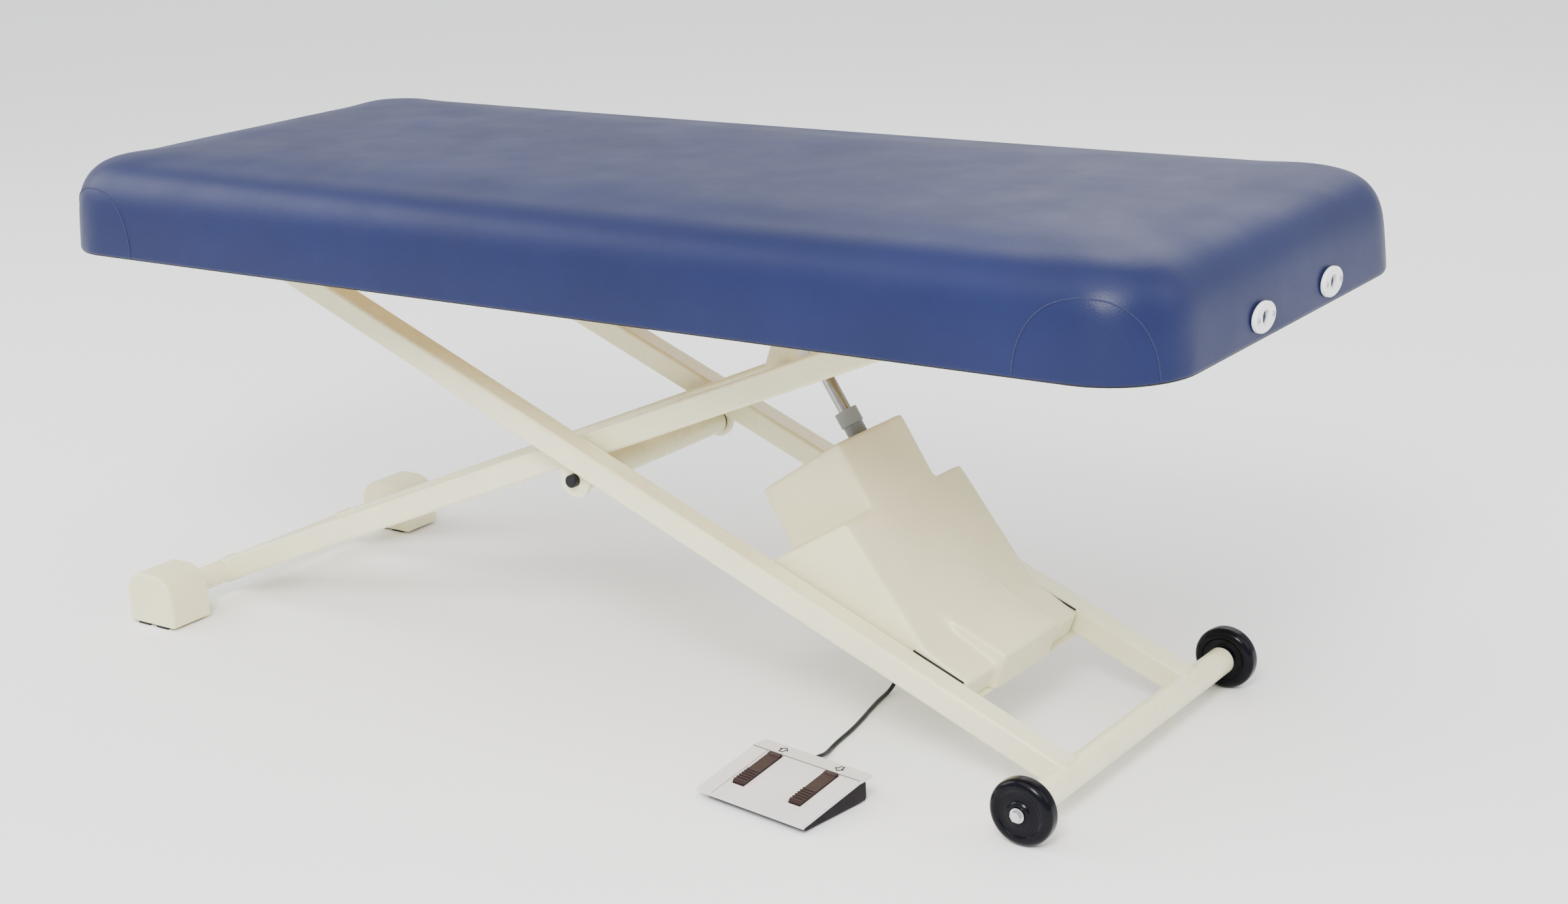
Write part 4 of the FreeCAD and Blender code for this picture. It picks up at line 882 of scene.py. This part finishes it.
def pedal_caps():
    """A short raised cap over each pedal's hinge."""
    wide, deep = CAP_HALF
    outline = rounded([(-wide, -deep), (wide, -deep), (wide, deep), (-wide, deep)], 0.0015, 3)
    base = slope_z(CAP_Y - deep) + 0.0006
    for name, x in (("pedal_up", -PEDAL_X), ("pedal_down", PEDAL_X)):
        rings = []
        for inset, height in ((0, 0), (0, 0.0032), (0.0005, 0.0039), (0.0014, 0.0042)):
            keep_x, keep_y = 1 - inset / wide, 1 - inset / deep
            rings.append([in_switch(x + p.x * keep_x, CAP_Y + p.y * keep_y, base + height) for p in outline])
        verts, faces = loft(rings, caps=True)
        cap = add(name + "_cap", outward(mesh_of(name + "_cap", verts, faces)), name, FINISHES["pedal_brown"])


def domes():
    """Ribbed rubber domes under the pedals."""
    at_y = PEDAL_HINGE_Y - DOME_FORWARD
    turns = [2 * math.pi * k / 40 for k in range(40)]
    for name, x in (("up", -PEDAL_X), ("down", PEDAL_X)):
        low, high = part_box("dome_" + name)
        tall = high[2] - low[2]
        rings = []
        for r, share in DOME_OUTLINE:
            z = low[2] + tall * share
            rings.append([in_switch(x + r * MM * math.cos(a), at_y + r * MM * math.sin(a), z) for a in turns])
        verts, faces = loft(rings, caps=True)
        name_of = "dome_" + name + "_rubber"
        piece = add(name_of, outward(mesh_of(name_of, verts, faces)), "foot_switch", FINISHES["rubber_black"])
        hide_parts("dome_" + name)
        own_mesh(piece)


def arrow_marks():
    """Outlined arrows behind the pedals: one points to the back, one to the front."""
    # millimetres, from the middle of its height
    outline = [(0, 6.5), (7.0, 0), (3.2, 0), (3.2, -6.5), (-3.2, -6.5), (-3.2, 0), (-7.0, 0)]
    y = SWITCH_D / 2 - 0.0125
    parts = []
    for x, way in ((-PEDAL_X, 1), (PEDAL_X, -1)):
        path = [in_switch(x + px * MM, y + way * py * MM, SWITCH_BACK_H + 0.0011) for px, py in outline]
        dense = []
        for k, point in enumerate(path):
            dense += [point.lerp(path[(k + 1) % len(path)], i / 6) for i in range(6)]
        parts.append(tube(dense, ARROW_R, 6, closed=True))
    marks = merged("arrow_marks", parts, "foot_switch", "switch_dark")


# ---- cord ---------------------------------------------------------------------------------------------
def cord():
    """The switch's cord: a mesh tube along the smooth curve of its route."""
    curve = bpy.data.curves.new("cord_line", "CURVE")
    curve.dimensions = "3D"
    curve.resolution_u = 10
    spline = curve.splines.new("NURBS")
    x, y, z = BOOT_AXIS
    route = [TABLE + Vector(place) * MM for place in CORD_ROUTE]
    route += [in_switch(x, y + CORD_LAST_RUN, z), in_switch(x, y, z)]
    spline.points.add(len(route) - 1)
    for point, place in zip(spline.points, route):
        point.co = (*place, 1)
    spline.order_u = 3
    spline.use_endpoint_u = True
    line = helper("cord_line", curve)
    points = [v.co.copy() for v in bpy.data.meshes.new_from_object(line).vertices]
    drop(line)
    verts, faces = tube(points, CORD_D / 2, 16)
    piece = add("switch_cord", outward(mesh_of("switch_cord", verts, faces)), None, FINISHES["cord_black"])
    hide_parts("cord")
    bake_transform(piece)


# ---- studio -------------------------------------------------------------------------------------------
AIM = (0, 0, 0.4)
AREA_LIGHTS = [              # name, place, width, watts
    ("key", (1.9, -3.6, 3.6), 1.5, 300),
    ("left", (-4.2, -1.6, 3.0), 3.0, 150),
    ("right", (4.4, 1.2, 3.2), 3.0, 70),
    ("back", (-0.5, 4.4, 3.8), 3.8, 60),
]


def camera():
    """The main view's camera. Roll turns it about its line of sight."""
    yaw, pitch, roll = CAMERA_YAW, CAMERA_PITCH, CAMERA_ROLL
    forward = Vector((-math.sin(yaw) * math.cos(pitch), math.cos(yaw) * math.cos(pitch), -math.sin(pitch)))
    level = forward.cross(Vector((0, 0, 1))).normalized()
    upright = level.cross(forward)
    right = level * math.cos(roll) + upright * math.sin(roll)
    top = upright * math.cos(roll) - level * math.sin(roll)
    data = bpy.data.cameras.new("camera")
    data.lens = CAMERA_LENS
    data.sensor_width = 36
    data.clip_end = 100
    seen = bpy.data.objects.new("camera", data)
    seen.matrix_world = Matrix((right, top, -forward)).transposed().to_4x4()
    seen.location = TABLE + CAMERA_AT
    bpy.context.scene.collection.objects.link(seen)
    bpy.context.scene.camera = seen


def area_light(name, place, width, power):
    """A square light that points at the table."""
    data = bpy.data.lights.new(name, "AREA")
    data.size = width
    data.energy = power
    lamp = helper(name, data)
    lamp.location = place
    lamp.rotation_euler = (Vector(AIM) - Vector(place)).to_track_quat("-Z", "Y").to_euler()


def overhead_light():
    """A wide soft light from above, a little from the front and right."""
    data = bpy.data.lights.new("overhead", "SUN")
    data.energy = 2.2
    data.angle = math.radians(70)
    lamp = helper("overhead", data)
    lamp.rotation_euler = (math.radians(24), math.radians(8), 0)


def studio():
    """Plain pale floor under an even white sky, with soft lights round the table."""
    reach = 40
    verts = [(-reach, -reach, 0), (reach, -reach, 0), (reach, reach, 0), (-reach, reach, 0)]
    floor = helper("floor", mesh_of("floor", verts, [(0, 1, 2, 3)]))
    floor_finish = Finish("floor", (0.90, 0.90, 0.90), 0.75)
    floor_finish.roughness(floor_finish.noise(3.0), 0.70, 0.80)
    floor.data.materials.append(floor_finish.material)
    world = bpy.data.worlds.new("studio")
    world.use_nodes = True
    sky = world.node_tree.nodes["Background"]
    sky.inputs["Color"].default_value = (0.96, 0.98, 1.0, 1)
    sky.inputs["Strength"].default_value = 1.0
    bpy.context.scene.world = world
    for light in AREA_LIGHTS:
        area_light(*light)
    overhead_light()


# ---- the whole table ----------------------------------------------------------------------------------
camera()
cord()
dress_cad()
corner_seams(upholstery())
hem_welt()
staples()
welds()
wheel("wheel_near", -1)
wheel("wheel_far", 1)
motor_cover()
switch_shade_lines()
pedal_caps()
domes()
arrow_marks()
slot_shade_strips()
studio()
